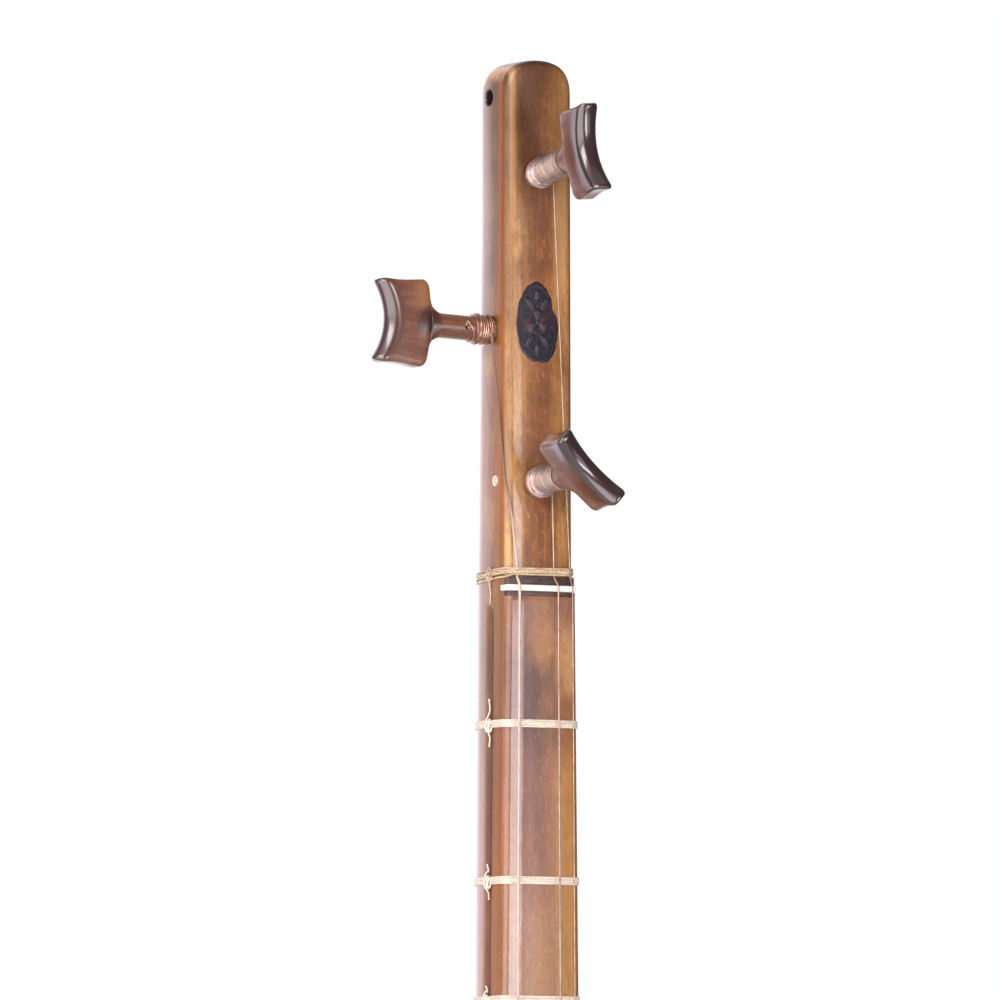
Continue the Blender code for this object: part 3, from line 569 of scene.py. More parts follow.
def stem_wood():
    """Walnut of the neck and head: golden brown edges, a darker mottled band up the middle, under a clear gloss coat."""
    g = Graph("stem_walnut")
    p = g.mm()
    broad, fibre, pores = streaks(g, p, "z", 1.0, 1.0)
    x, y, z = g.parts(p)
    wander = g.math("MULTIPLY", g.math("SUBTRACT", g.noise(p, (0.02, 0.02, 0.022), 3.0, 0.5, 0.0, (7, 1, 3)), 0.5), 9.0)
    across = g.span(g.math("ADD", x, wander), -11.0, 11.0, 0.0, 1.0, "LINEAR")
    band = g.ramp(across, [
        (0.00, srgb(174, 104, 58)), (0.08, srgb(198, 146, 84)), (0.18, srgb(196, 148, 92)), (0.26, srgb(170, 124, 78)), (0.33, srgb(150, 98, 56)),
        (0.42, srgb(143, 88, 47)), (0.52, srgb(134, 79, 42)), (0.62, srgb(146, 91, 46)), (0.73, srgb(172, 118, 62)), (0.88, srgb(186, 134, 80)), (1.00, srgb(112, 68, 38)),
    ], "EASE")
    mottle = g.noise(p, (0.10, 0.10, 0.055), 4.0, 0.62, 0.6, (2, 9, 4))
    dark = g.span(g.math("MULTIPLY_ADD", mottle, 0.75, g.math("MULTIPLY", broad, 0.55)), 0.52, 0.80)
    color = g.mix(g.math("MULTIPLY", dark, 0.55), band, srgb(76, 42, 22))
    speckle = g.noise(p, (0.9, 0.9, 0.55), 3.0, 0.7, 0.3, (6, 3, 1))
    color = g.mix(g.math("MULTIPLY", g.span(speckle, 0.50, 0.72), 0.35), color, srgb(84, 48, 26))
    color = g.mix(g.math("MULTIPLY", g.span(speckle, 0.46, 0.28), 0.28), color, srgb(208, 150, 84))
    color = g.mix(g.math("MULTIPLY", g.span(broad, 0.52, 0.70), 0.35), color, srgb(205, 142, 78))
    color = g.mix(g.math("MULTIPLY", g.span(fibre, 0.44, 0.66), 0.30), color, srgb(78, 44, 24))
    color = g.mix(g.math("MULTIPLY", g.span(pores, 0.60, 0.70), 0.42), color, srgb(46, 26, 16))
    end = g.span(z, 5.6, 9.2)
    color = g.mix(g.math("MULTIPLY", end, 0.6), color, srgb(58, 34, 22))
    shade_top = g.math("MULTIPLY", g.math("MULTIPLY", g.span(z, -52.0, -8.0), g.span(y, -6.5, -9.0)), g.span(across, 0.16, 0.25, 0.1, 1.0))
    color = g.mix(g.math("MULTIPLY", shade_top, 0.30), color, srgb(64, 38, 26))
    # Painted shade: the front's middle band, and a little all of the front, darken towards the top of the head.
    inner = g.math("MULTIPLY", g.span(across, 0.62, 0.42), g.span(across, 0.19, 0.30))
    painted_top_shade = g.math("MULTIPLY", g.span(z, -45.0, -12.0), g.math("MULTIPLY_ADD", inner, 0.42, 0.10))
    color = g.mix(painted_top_shade, color, srgb(46, 28, 22))
    bright = g.math("MULTIPLY", g.math("MULTIPLY", g.span(x, 3.4, 5.4), g.span(x, 9.2, 7.6)), g.math("MULTIPLY", g.span(z, -18.0, -26.0), g.span(z, -58.0, -44.0)))
    color = g.mix(g.math("MULTIPLY", bright, 0.38), color, srgb(214, 164, 112))
    t = g.span(z, 12.0, -232.0, 0.0, 1.0, "LINEAR")
    # Painted light and shade on the left flank: this ramp scales its colour by height, darkest towards the top of the
    # head.
    tone = g.ramp(t, [(0.0, grey(0.30)), (0.08, grey(0.36)), (0.19, grey(0.41)), (0.30, grey(0.58)), (0.36, grey(0.68)), (0.46, grey(0.66)), (0.58, grey(0.52)), (0.68, grey(0.50)), (0.80, grey(0.66)), (0.92, grey(0.70)), (1.0, grey(0.68))])
    flank = g.math("MULTIPLY", g.span(x, -8.9, -9.5), g.math("MULTIPLY", g.span(z, -264.0, -240.0), g.span(y, 10.0, 4.8)))
    # Painted highlight: a golden streak of light down the left flank around the side peg.
    golden = g.math("MULTIPLY", g.math("MULTIPLY", g.span(y, -4.6, -6.4), flank), g.math("MULTIPLY", g.span(z, -56.0, -66.0), g.span(z, -112.0, -98.0)))
    color = g.mix(g.math("MULTIPLY", golden, 0.5), color, srgb(204, 160, 108))
    ruddy = g.math("MULTIPLY", g.math("MULTIPLY", g.span(y, -2.6, -5.0), flank), g.math("MULTIPLY_ADD", fibre, 0.5, 0.35))
    color = g.mix(ruddy, color, srgb(188, 112, 42))
    # the flank's painted light and shade is multiplied in here
    color = g.mix(flank, color, g.mix(1.0, color, tone, "MULTIPLY"))
    # Painted shade on the rounding of the left front corner: darker by height, most towards the top of the head.
    corner_shade = g.math("MULTIPLY", g.math("MULTIPLY", g.span(x, -7.5, -8.5), g.span(x, -9.74, -9.5)), g.span(y, -6.0, -6.8))
    color = g.mix(corner_shade, color, g.mix(1.0, color, g.ramp(t, [(0.0, grey(0.28)), (0.08, grey(0.33)), (0.15, grey(0.54)), (0.19, grey(0.64)), (0.36, grey(0.80)), (0.5, grey(1.0)), (0.74, grey(1.0)), (0.90, grey(0.74)), (1.0, grey(0.70))]), "MULTIPLY"))
    # Painted highlight: a lighter golden band on the head's upper left front stands in for the corner's reflection,
    # over the wood's golden tone.
    gold_highlight = g.math("MULTIPLY", g.math("MULTIPLY", g.span(x, -8.5, -7.8), g.span(x, -6.4, -7.2)), g.span(z, -44.0, -18.0))
    color = g.mix(g.math("MULTIPLY", gold_highlight, 0.40), color, srgb(214, 160, 108))
    # Painted shade: the left front corner is darkened towards the top of the head.
    painted_top_shade = g.math("MULTIPLY", g.math("MULTIPLY", g.span(x, -9.2, -8.6), g.span(x, -6.4, -7.2)), g.math("MULTIPLY", g.span(z, -34.0, -16.0), g.span(y, -6.0, -6.8)))
    color = g.mix(g.math("MULTIPLY", painted_top_shade, 0.30), color, srgb(112, 70, 44))
    warm_side = g.math("MULTIPLY", g.math("MULTIPLY", g.span(y, -4.2, -6.2), flank), g.span(z, -118.0, -96.0))
    color = g.mix(g.math("MULTIPLY", warm_side, 0.55), color, srgb(158, 92, 52))
    # Painted reflection: the back of the left flank is tinted lilac grey, the white backdrop seen in the gloss.
    rear = g.math("MULTIPLY", flank, g.span(y, -2.8, 1.4))
    color = g.mix(g.math("MULTIPLY", rear, g.math("ADD", g.span(z, -20.0, -60.0, 0.42, 0.26), g.span(z, -150.0, -200.0, 0.0, 0.22))), color, srgb(184, 154, 146))
    # Painted shade inside the hang hole: near black round its axis.
    hole = g.math("SQRT", g.math("ADD", g.math("MULTIPLY", y, y), g.math("MULTIPLY", z, z)))
    color = g.mix(g.span(hole, 2.5, 1.95), color, srgb(44, 31, 33))
    track = g.math("MULTIPLY", g.span(g.math("ABSOLUTE", g.math("ADD", y, 2.03)), 1.75, 1.05), g.math("MULTIPLY", g.span(z, -130.6, -132.5), g.span(x, -9.2, -9.6)))
    color = g.mix(g.math("MULTIPLY", track, 0.46), color, srgb(54, 32, 34))
    lacquered(g, color, g.math("ADD", g.math("MULTIPLY", fibre, 0.5), g.math("MULTIPLY", pores, -0.5)))
    rounded = g.math("MULTIPLY", g.math("MULTIPLY", g.span(x, -7.5, -8.3), g.span(y, -6.2, -7.0)), g.span(z, -118.0, -60.0))
    beside = g.math("MULTIPLY", g.span(g.math("ABSOLUTE", g.math("ADD", y, 2.03)), 3.0, 2.2), g.math("MULTIPLY", g.span(z, -129.6, -131.5), g.span(x, -8.8, -9.4)))
    polish = g.math("MULTIPLY", g.span(z, -2.0, -34.0, 0.3, 1.0), g.math("MULTIPLY", g.math("MULTIPLY_ADD", rounded, -0.72, 1.0), g.math("MULTIPLY_ADD", beside, -0.6, 1.0)))
    g.plug(g.shader.inputs["Coat Weight"], polish)
    g.plug(g.shader.inputs["Roughness"], g.math("MULTIPLY_ADD", beside, 0.4, 0.34))
    return g.mat


def board_wood():
    """The thin fingerboard: rosy brown with a paler right edge."""
    g = Graph("fingerboard_wood")
    p = g.mm()
    broad, fibre, pores = streaks(g, p, "z", 1.1, 4.0)
    x, y, z = g.parts(p)
    wander = g.math("MULTIPLY", g.math("SUBTRACT", g.noise(p, (0.02, 0.02, 0.012), 3.0, 0.5, 0.0, (1, 5, 3)), 0.5), 7.0)
    across = g.span(g.math("ADD", x, wander), -11.0, 11.0, 0.0, 1.0, "LINEAR")
    # The first stop of each of these ramps, at the left corner, is a lighter orange: a painted highlight on the
    # corner's rounding, over the wood's colour.
    upper = g.ramp(across, [(0.0, srgb(172, 116, 88)), (0.10, srgb(146, 102, 80)), (0.28, srgb(138, 100, 84)), (0.42, srgb(140, 100, 82)), (0.60, srgb(142, 101, 78)), (0.80, srgb(150, 107, 84)), (0.90, srgb(142, 98, 74)), (1.0, srgb(116, 74, 54))], "EASE")
    rosy = g.ramp(across, [(0.0, srgb(180, 122, 96)), (0.10, srgb(126, 88, 76)), (0.28, srgb(110, 76, 72)), (0.45, srgb(90, 61, 55)), (0.60, srgb(104, 70, 57)), (0.80, srgb(134, 88, 62)), (0.90, srgb(132, 86, 58)), (1.0, srgb(118, 74, 46))], "EASE")
    middle = g.ramp(across, [(0.0, srgb(196, 132, 100)), (0.10, srgb(146, 100, 78)), (0.26, srgb(136, 94, 78)), (0.48, srgb(119, 79, 64)), (0.60, srgb(140, 94, 64)), (0.74, srgb(176, 126, 84)), (0.88, srgb(184, 130, 70)), (1.0, srgb(140, 90, 50))], "EASE")
    lower = g.ramp(across, [(0.0, srgb(150, 100, 68)), (0.10, srgb(150, 104, 78)), (0.26, srgb(162, 119, 94)), (0.42, srgb(161, 116, 80)), (0.60, srgb(152, 106, 68)), (0.74, srgb(170, 123, 78)), (0.88, srgb(186, 137, 78)), (1.0, srgb(150, 100, 56))], "EASE")
    wave = g.math("ADD", z, g.math("MULTIPLY", g.math("SUBTRACT", g.noise(p, (0.07, 0.07, 0.03), 3.0, 0.55, 0.0, (2, 2, 6)), 0.5), 34.0))
    band = g.mix(g.span(wave, -143.0, -151.0), upper, rosy)
    band = g.mix(g.span(wave, -164.0, -178.0), band, middle)
    band = g.mix(g.span(wave, -190.0, -214.0), band, lower)
    drift = g.noise(p, (0.03, 0.03, 0.011), 3.0, 0.55, 0.3, (8, 2, 1))
    band = g.mix(g.math("MULTIPLY", g.span(z, -236.0, -262.0), g.span(drift, 0.42, 0.62)), band, middle)
    ragged = g.noise(p, (0.30, 0.30, 0.10), 4.0, 0.6, 0.4, (5, 5, 2))
    for cx, cz, rx, rz, strength, tint in ((0.6, -141.5, 4.2, 7.6, 0.85, srgb(168, 120, 76)), (6.0, -144.5, 2.6, 10.0, 0.95, srgb(190, 140, 92)), (8.6, -145.0, 2.0, 10.5, 0.9, srgb(200, 154, 106))):
        dx = g.math("MULTIPLY", g.math("SUBTRACT", x, cx), 1.0 / rx)
        dz = g.math("MULTIPLY", g.math("SUBTRACT", z, cz), 1.0 / rz)
        away = g.math("SQRT", g.math("ADD", g.math("MULTIPLY", dx, dx), g.math("MULTIPLY", dz, dz)))
        away = g.math("MULTIPLY_ADD", g.math("SUBTRACT", ragged, 0.5), 1.1, away)
        band = g.mix(g.math("MULTIPLY", g.span(away, 1.25, 0.25), strength), band, tint)
    patch = g.noise(p, (0.06, 0.06, 0.024), 4.0, 0.6, 0.5, (3, 2, 8))
    color = g.mix(g.math("MULTIPLY", g.span(patch, 0.50, 0.72), 0.30), band, srgb(190, 134, 80))
    color = g.mix(g.math("MULTIPLY", g.span(patch, 0.48, 0.28), 0.34), color, srgb(92, 58, 50))
    speckle = g.noise(p, (0.9, 0.9, 0.45), 3.0, 0.7, 0.3, (1, 3, 7))
    color = g.mix(g.math("MULTIPLY", g.span(speckle, 0.50, 0.72), 0.25), color, srgb(90, 56, 44))
    color = g.mix(g.math("MULTIPLY", g.span(speckle, 0.46, 0.28), 0.20), color, srgb(196, 150, 108))
    color = g.mix(g.math("MULTIPLY", g.span(fibre, 0.44, 0.66), 0.18), color, srgb(74, 44, 34))
    color = g.mix(g.math("MULTIPLY", g.span(pores, 0.60, 0.70), 0.28), color, srgb(52, 32, 26))
    lacquered(g, color, g.math("ADD", g.math("MULTIPLY", fibre, 0.5), g.math("MULTIPLY", pores, -0.5)))
    g.plug(g.shader.inputs["Coat Weight"], g.math("MULTIPLY", g.math("MULTIPLY", g.span(z, -130.0, -150.0, 1.0, 0.80), g.span(z, -186.0, -216.0, 1.0, 1.25)), g.span(z, -129.5, -138.0, 0.45, 1.0)))
    return g.mat


def peg_wood(name, light, base, dark, rims, matrix, shape, seed, knot=None, warm=None):
    """Polished peg: grain along the peg's own axis, a calm face that turns red and then nearly black towards the rim."""
    g = Graph(name)
    inverse = matrix.inverted()
    p0 = g.mm()
    rows = [inverse[i][:3] for i in range(3)]
    shift = inverse.to_translation()
    local = g.join(*[
        g.math("ADD", g.node("ShaderNodeVectorMath", {0: p0, 1: tuple(rows[i])}, operation="DOT_PRODUCT").outputs["Value"], float(shift[i])) for i in range(3)
    ])
    broad, fibre, pores = streaks(g, local, "z", 1.6, seed)
    w, v, u = g.parts(local)
    middle, tip, half = shape
    line = g.math("MULTIPLY_ADD", g.math("MULTIPLY", v, v), (tip - middle) / (half - 0.8) ** 2, middle)
    depth = g.math("SUBTRACT", line, g.math("MULTIPLY_ADD", g.math("SUBTRACT", broad, 0.5), 2.2, u))
    color = g.ramp(broad, [(0.28, dark), (0.46, base), (0.60, light), (0.78, base)], "EASE")
    color = g.mix(g.math("MULTIPLY", g.span(fibre, 0.42, 0.66), 0.16), color, dark)
    if warm is not None:
        color = g.mix(g.math("MULTIPLY", g.math("MULTIPLY", g.span(v, 0.5, 6.5), g.span(u, 27.0, 21.0)), 0.8), color, warm)
    color = g.mix(g.span(depth, rims[2], rims[2] * 0.6), color, rims[0])
    color = g.mix(g.span(depth, rims[2] * 0.62, rims[2] * 0.22), color, rims[1])
    color = g.mix(g.math("MULTIPLY", g.span(pores, 0.58, 0.70), 0.25), color, srgb(34, 18, 15))
    if knot is not None:
        centre, radius = knot
        away = g.node("ShaderNodeVectorMath", {0: local, 1: centre}, operation="DISTANCE").outputs["Value"]
        ripple = g.noise(local, (0.5, 0.5, 0.5), 3.0, 0.6, 0.5, (seed, 0, 2))
        edge = g.math("ADD", away, g.math("MULTIPLY", g.math("SUBTRACT", ripple, 0.5), 5.0))
        color = g.mix(g.math("MULTIPLY", g.span(edge, radius + 2.4, radius - 1.0), 0.92), color, srgb(54, 28, 26))
    lacquered(g, color, g.math("ADD", g.math("MULTIPLY", fibre, 0.5), g.math("MULTIPLY", pores, -0.5)), 0.30, 0.9, 0.20 if knot else 0.15, 0.002, 0.000006)
    g.shader.inputs["Coat IOR"].default_value = 1.8
    collar = g.math("MULTIPLY", g.span(u, shape[0] - 14.0, shape[0] - 12.4), g.span(u, shape[0] - 5.0, shape[0] - 7.5))
    g.plug(g.shader.inputs["Coat Weight"], g.math("MULTIPLY_ADD", collar, -0.62, 0.9))
    return g.mat


def dark_strip():
    g = Graph("dark_inlay")
    p = g.mm()
    fibre = g.noise(p, (0.25, 3.0, 4.0), 4.0, 0.6)
    color = g.ramp(fibre, [(0.35, srgb(46, 30, 32)), (0.5, srgb(74, 52, 52)), (0.62, srgb(96, 68, 64))])
    color = g.mix(g.math("MULTIPLY", g.span(g.parts(p)[2], -128.4, -129.6), 0.45), color, srgb(140, 104, 104))
    lacquered(g, color, fibre, 0.45, 0.4, 0.3)
    return g.mat


def bone(name="bone", tint=(0, 0, 0)):
    g = Graph(name)
    p = g.mm()
    grain = g.noise(p, (0.12, 2.2, 2.2), 4.0, 0.55)
    cloud = g.noise(p, (0.35, 0.35, 0.35), 3.0, 0.5, 0.0, (4, 4, 1))
    color = g.ramp(grain, [(0.35, srgb(238, 228, 206)), (0.50, srgb(250, 246, 236)), (0.65, srgb(252, 250, 244))])
    color = g.mix(g.math("MULTIPLY", g.span(cloud, 0.50, 0.72), 0.35), color, srgb(236, 218, 184))
    g.set(Base_Color=color, Roughness=g.span(cloud, 0.3, 0.7, 0.22, 0.36))
    g.shader.inputs["Subsurface Weight"].default_value = 0.15
    g.shader.inputs["Subsurface Radius"].default_value = (1.0, 0.8, 0.6)
    g.shader.inputs["Subsurface Scale"].default_value = 0.0008
    g.plug(g.shader.inputs["Normal"], g.bump(grain, 0.00002))
    return g.mat


def gut(name, light, deep, seed=0.0):
    """Twisted gut: the strand's twist follows its own length."""
    g = Graph(name)
    along, east, north = g.parts(g.attribute("route"))
    turn = g.math("ARCTAN2", north, east)
    twist = g.math("SINE", g.math("ADD", g.math("MULTIPLY", along, 5.6), g.math("MULTIPLY", turn, 2.0)))
    cloud = g.noise(g.join(along, east, north), (0.28, 0.2, 0.2), 3.0, 0.55, 0.0, (seed, 2, 1))
    color = g.mix(g.span(cloud, 0.35, 0.70), light, deep)
    color = g.mix(g.math("MULTIPLY", g.span(twist, 0.2, -0.9), 0.30), color, deep)
    g.set(Base_Color=color, Roughness=g.span(cloud, 0.3, 0.7, 0.30, 0.46))
    g.shader.inputs["Subsurface Weight"].default_value = 0.12
    g.shader.inputs["Subsurface Radius"].default_value = (1.0, 0.75, 0.5)
    g.shader.inputs["Subsurface Scale"].default_value = 0.0006
    g.plug(g.shader.inputs["Normal"], g.bump(twist, 0.00004))
    return g.mat


def wire(name, color_a, color_b, rough, wound=0.0, shade_reach=0.0):
    """Drawn wire; wound gives the pitch in millimetres of a winding along the strand, dull how far from its start the
    strand is painted a darker mauve brown, as painted shade.
    """
    g = Graph(name)
    along, east, north = g.parts(g.attribute("route"))
    turn = g.math("ARCTAN2", north, east)
    cloud = g.noise(g.join(along, east, north), (0.35, 0.4, 0.4), 3.0, 0.6)
    color = g.mix(g.span(cloud, 0.35, 0.68), color_a, color_b)
    if wound:
        wave = g.math("SINE", g.math("ADD", g.math("MULTIPLY", along, 6.2832 / wound), turn))
        color = g.mix(g.math("MULTIPLY", g.span(wave, 0.0, -1.0), 0.28), color, srgb(120, 80, 62))
        g.plug(g.shader.inputs["Normal"], g.bump(wave, wound * 0.00012))
    if shade_reach:
        # Painted shade: from the start out to this reach the strand is mixed to a mauve brown.
        painted_shade = g.span(g.math("MULTIPLY_ADD", g.math("SUBTRACT", cloud, 0.5), 12.0, along), shade_reach, shade_reach - 26.0)
        color = g.mix(g.math("MULTIPLY", painted_shade, 0.95), color, srgb(146, 106, 88))
    g.set(Base_Color=color, Roughness=g.span(cloud, 0.3, 0.7, rough, rough + 0.14), Metallic=0.45 if shade_reach else 1.0)
    return g.mat


def rib_wood(name, light, base, dark, seed):
    g = Graph(name)
    grain = g.attribute("grain")  # across in mm, along in mm, distance to the nearer seam in mm
    across, along, seam = g.parts(grain)
    q = g.join(across, g.math("MULTIPLY", seed, 17.0), along)
    broad, fibre, pores = streaks(g, q, "z", 0.9, seed)
    color = g.ramp(broad, [(0.30, dark), (0.45, base), (0.60, light), (0.75, base)], "EASE")
    figure = g.noise(q, (0.02, 0.02, 0.16), 3.0, 0.55, 0.5, (seed, 1, 5))
    color = g.mix(g.math("MULTIPLY", g.span(figure, 0.45, 0.68), 0.28), color, light)
    color = g.mix(g.math("MULTIPLY", g.span(fibre, 0.44, 0.66), 0.30), color, dark)
    color = g.mix(g.math("MULTIPLY", g.span(pores, 0.60, 0.70), 0.40), color, srgb(40, 24, 16))
    color = g.mix(g.math("MULTIPLY", g.span(seam, 0.55, 0.15), 0.85), color, srgb(36, 22, 15))
    lacquered(g, color, g.math("ADD", g.math("MULTIPLY", fibre, 0.5), g.math("MULTIPLY", pores, -0.5)), 0.33, 1.0, 0.08)
    return g.mat


HOLES = [(0.0, -700.0)]
HOLES += [(8.0 * math.sin(math.radians(60 * i)), -700.0 + 8.0 * math.cos(math.radians(60 * i))) for i in range(6)]
for side in (-1, 1):
    HOLES += [(side * 38.0 + 4.6 * math.sin(math.radians(120 * i)), -738.0 + 4.6 * math.cos(math.radians(120 * i))) for i in range(3)]


def soundboard_wood():
    g = Graph("soundboard_mulberry")
    p = g.mm()
    x, y, z = g.parts(p)
    ring = g.noise(p, (0.30, 0.1, 0.0035), 4.0, 0.62, 0.0, (3, 3, 3))
    warp = g.math("MULTIPLY", g.math("SUBTRACT", g.noise(p, (0.03, 0.03, 0.006), 3.0, 0.55), 0.5), 16.0)
    lines = g.math("SINE", g.math("ADD", g.math("MULTIPLY", g.math("ADD", x, warp), 2.7), g.math("MULTIPLY", ring, 16.0)))
    fibre = g.noise(p, (4.2, 1.0, 0.07), 4.0, 0.6, 0.2)
    pores = g.noise(p, (6.5, 2.0, 0.30), 2.0, 0.5)
    color = g.ramp(g.span(lines, -1.0, 1.0, 0.0, 1.0, "LINEAR"), [(0.0, srgb(160, 110, 58)), (0.22, srgb(186, 134, 76)), (0.6, srgb(196, 146, 86)), (1.0, srgb(204, 156, 96))], "EASE")
    cloud = g.noise(p, (0.02, 0.02, 0.008), 4.0, 0.6, 0.3, (5, 1, 1))
    color = g.mix(g.math("MULTIPLY", g.span(cloud, 0.45, 0.70), 0.35), color, srgb(150, 96, 48))
    color = g.mix(g.math("MULTIPLY", g.span(fibre, 0.45, 0.66), 0.26), color, srgb(110, 66, 32))
    color = g.mix(g.math("MULTIPLY", g.span(pores, 0.60, 0.70), 0.35), color, srgb(80, 46, 24))
    near = 99.0
    flat = g.join(x, 0.0, z)
    for hx, hz in HOLES:
        away = g.node("ShaderNodeVectorMath", {0: flat, 1: (hx, 0.0, hz)}, operation="DISTANCE").outputs["Value"]
        near = g.math("MINIMUM", near, away)
    ragged = g.math("ADD", near, g.math("MULTIPLY", g.math("SUBTRACT", g.noise(p, (1.1, 1.1, 1.1), 2.0, 0.5), 0.5), 0.5))
    color = g.mix(g.math("MULTIPLY", g.span(ragged, 3.0, 1.7), 0.9), color, srgb(36, 20, 13))
    lacquered(g, color, g.math("ADD", g.math("MULTIPLY", fibre, 0.5), g.math("MULTIPLY", pores, -0.5)), 0.42, 0.7, 0.18)
    return g.mat


def raw_wood():
    g = Graph("raw_block_wood")
    p = g.mm()
    broad, fibre, pores = streaks(g, p, "z", 0.8, 6.0)
    color = g.ramp(broad, [(0.3, srgb(150, 112, 74)), (0.5, srgb(188, 150, 104)), (0.7, srgb(204, 170, 124))])
    color = g.mix(g.math("MULTIPLY", g.span(fibre, 0.45, 0.66), 0.3), color, srgb(120, 84, 52))
    g.set(Base_Color=color, Roughness=g.span(fibre, 0.3, 0.7, 0.55, 0.75))
    g.plug(g.shader.inputs["Normal"], g.bump(fibre, 0.0001))
    return g.mat


def brass():
    g = Graph("turned_brass")
    p = g.mm()
    rings = g.noise(p, (0.6, 0.6, 9.0), 3.0, 0.6)
    cloud = g.noise(p, (1.2, 1.2, 1.2), 3.0, 0.6, 0.0, (3, 1, 1))
    color = g.mix(g.span(cloud, 0.4, 0.7), srgb(204, 164, 92), srgb(150, 108, 56))
    g.set(Base_Color=color, Roughness=g.span(rings, 0.3, 0.7, 0.2, 0.42), Metallic=1.0)
    g.plug(g.shader.inputs["Normal"], g.bump(rings, 0.00001))
    return g.mat


def burnt_oval():
    """Burnt blue-black oval: charred low ground; the raised parts are painted lighter, a painted highlight."""
    g = Graph("burnt_oval")
    p = g.mm()
    x, y, z = g.parts(p)
    high = g.attribute("relief")
    lift, edge, _ = g.parts(high)
    char = g.noise(p, (1.4, 1.4, 1.4), 5.0, 0.65, 0.4)
    color = g.ramp(char, [(0.30, srgb(12, 10, 16)), (0.52, srgb(24, 20, 34)), (0.70, srgb(44, 38, 56))])
    blot = g.noise(p, (0.28, 0.28, 0.16), 4.0, 0.65, 0.8, (3, 6, 2))
    red = g.math("MULTIPLY", g.span(blot, 0.46, 0.64), g.span(z, -64.0, -57.0))
    color = g.mix(g.math("MULTIPLY", red, 0.75), color, srgb(74, 34, 34))
    # Painted highlight: the raised relief is mixed to a lighter lilac grey.
    color = g.mix(g.math("MULTIPLY", g.span(lift, 0.35, 0.95), 0.4), color, srgb(84, 70, 84))
    color = g.mix(g.math("MULTIPLY", g.span(edge, 0.86, 0.99), 0.55), color, srgb(40, 24, 20))
    g.set(Base_Color=color, Roughness=g.span(char, 0.3, 0.7, 0.24, 0.5))
    g.shader.inputs["Specular IOR Level"].default_value = 0.35
    g.shader.inputs["Coat Weight"].default_value = 0.25
    g.shader.inputs["Coat Roughness"].default_value = 0.2
    g.plug(g.shader.inputs["Normal"], g.bump(char, 0.0002))
    return g.mat


# ======================================================================== stem: neck with peghead
STEM = stem_wood()
BOARD_MAT = board_wood()
STRIP_MAT = dark_strip()
BONE_MAT = bone()
GUT_MAT = gut("fret_gut", srgb(240, 230, 218), srgb(222, 205, 184), 1.0)
TIE_MAT = gut("tie_gut", srgb(216, 198, 170), srgb(178, 146, 112), 5.0)
STEEL_MAT = wire("plain_steel", srgb(232, 212, 208), srgb(206, 180, 174), 0.34)
TREBLE_MAT = wire("string_steel", srgb(200, 174, 160), srgb(176, 150, 136), 0.52)
WORN_STEEL = wire("worn_steel", srgb(196, 174, 164), srgb(150, 126, 118), 0.42)
# the last number is the reach of the bass string's painted shade, along the head
BRONZE_MAT = wire("wound_bronze", srgb(252, 230, 220), srgb(240, 206, 190), 0.36, 0.34, 62.0)
BRONZE_COIL = wire("bronze_coil", srgb(226, 188, 168), srgb(136, 96, 80), 0.24)
BRASS_MAT = brass()
BLOCK_MAT = raw_wood()


def bow_r(z):
    """Radius of the bowed sides; they turn flat towards the heel."""
    below = NUT_Z - z
    return SIDE_R / max(1e-3, 1.0 - smooth((below - 320.0) / 72.0))


def crown_r(z):
    """Radius of the crown across the front; it turns flat towards the heel."""
    below = max(NUT_Z - z, 0.0)
    drop = blend(1.04, 0.02, smooth((below - 220.0) / 165.0))
    half = neck_half(below) if below else 10.2
    return half * half / (2 * drop)


rings = []
for i in range(36, -1, -1):
    lift = math.radians(2.4 * i)
    rise = math.sin(lift) ** (2 / DOME_POWER) if i else 0.0
    k = math.cos(lift) ** (2 / DOME_POWER)
    z = DOME_BASE + (HEAD_TOP - DOME_BASE) * rise
    half, straight, deep, plane = neck_shape(min(z, 0.0))
    over = max(0.0, z - (HEAD_TOP - DOME_EDGE)) / DOME_EDGE
    inset = DOME_EDGE * (1 - math.sqrt(max(0.0, 1 - min(over, 1.0) ** 2)))
    corner = min(HEAD_CORNER, 0.6 * half * k)
    rings.append(at_z(section(half * k, straight - 2 * inset, deep * k, plane - inset, corner, 0.0, CROWN_R, SIDE_R / k), z))
z = -1.5
while z > STRIP_UPPER[0] + 1.0:
    half, straight, deep, plane = neck_shape(z)
    rings.append(at_z(section(half, straight, deep, plane, HEAD_CORNER), z))
    z -= 2.5
for z in (STRIP_UPPER[0] + 0.4, STRIP_UPPER[0] + 0.07):
    half, straight, deep, plane = neck_shape(-123.0)
    rings.append(at_z(section(half, straight, deep, plane, HEAD_CORNER), z))
half, straight, deep, plane = neck_shape(-123.0)
rings.append(at_z(section(half, straight, deep, plane, HEAD_CORNER, -0.03), STRIP_UPPER[0] + 0.04))
stops = [STRIP_UPPER[0] + 0.03, -125.0, -126.5, -128.0, -129.4, -130.6, -131.3, -132.0, -132.8, -133.6, -135.0, -140.0]
stops += [-140.0 - 8.0 * i for i in range(1, 36)]
z = -423.0
while z > HEEL_Z + 2:
    stops.append(z)
    z -= 3.0
stops += [HEEL_Z]
for z in stops:
    half, straight, deep, plane = neck_shape(min(z, STRIP_UPPER[0] - 0.1))
    below = NUT_Z - z
    depth = 0.7 * smooth((-130.4 - z) / 2.6) * (1 - smooth((below - 366.0) / 4.0))
    rings.append(at_z(section(half, straight, deep, plane, 0.15, 0.0, 0.0, bow_r(z), depth, -FRONT + GROOVE_BACK), z))
neck = loft("neck_visual", rings, STEM)
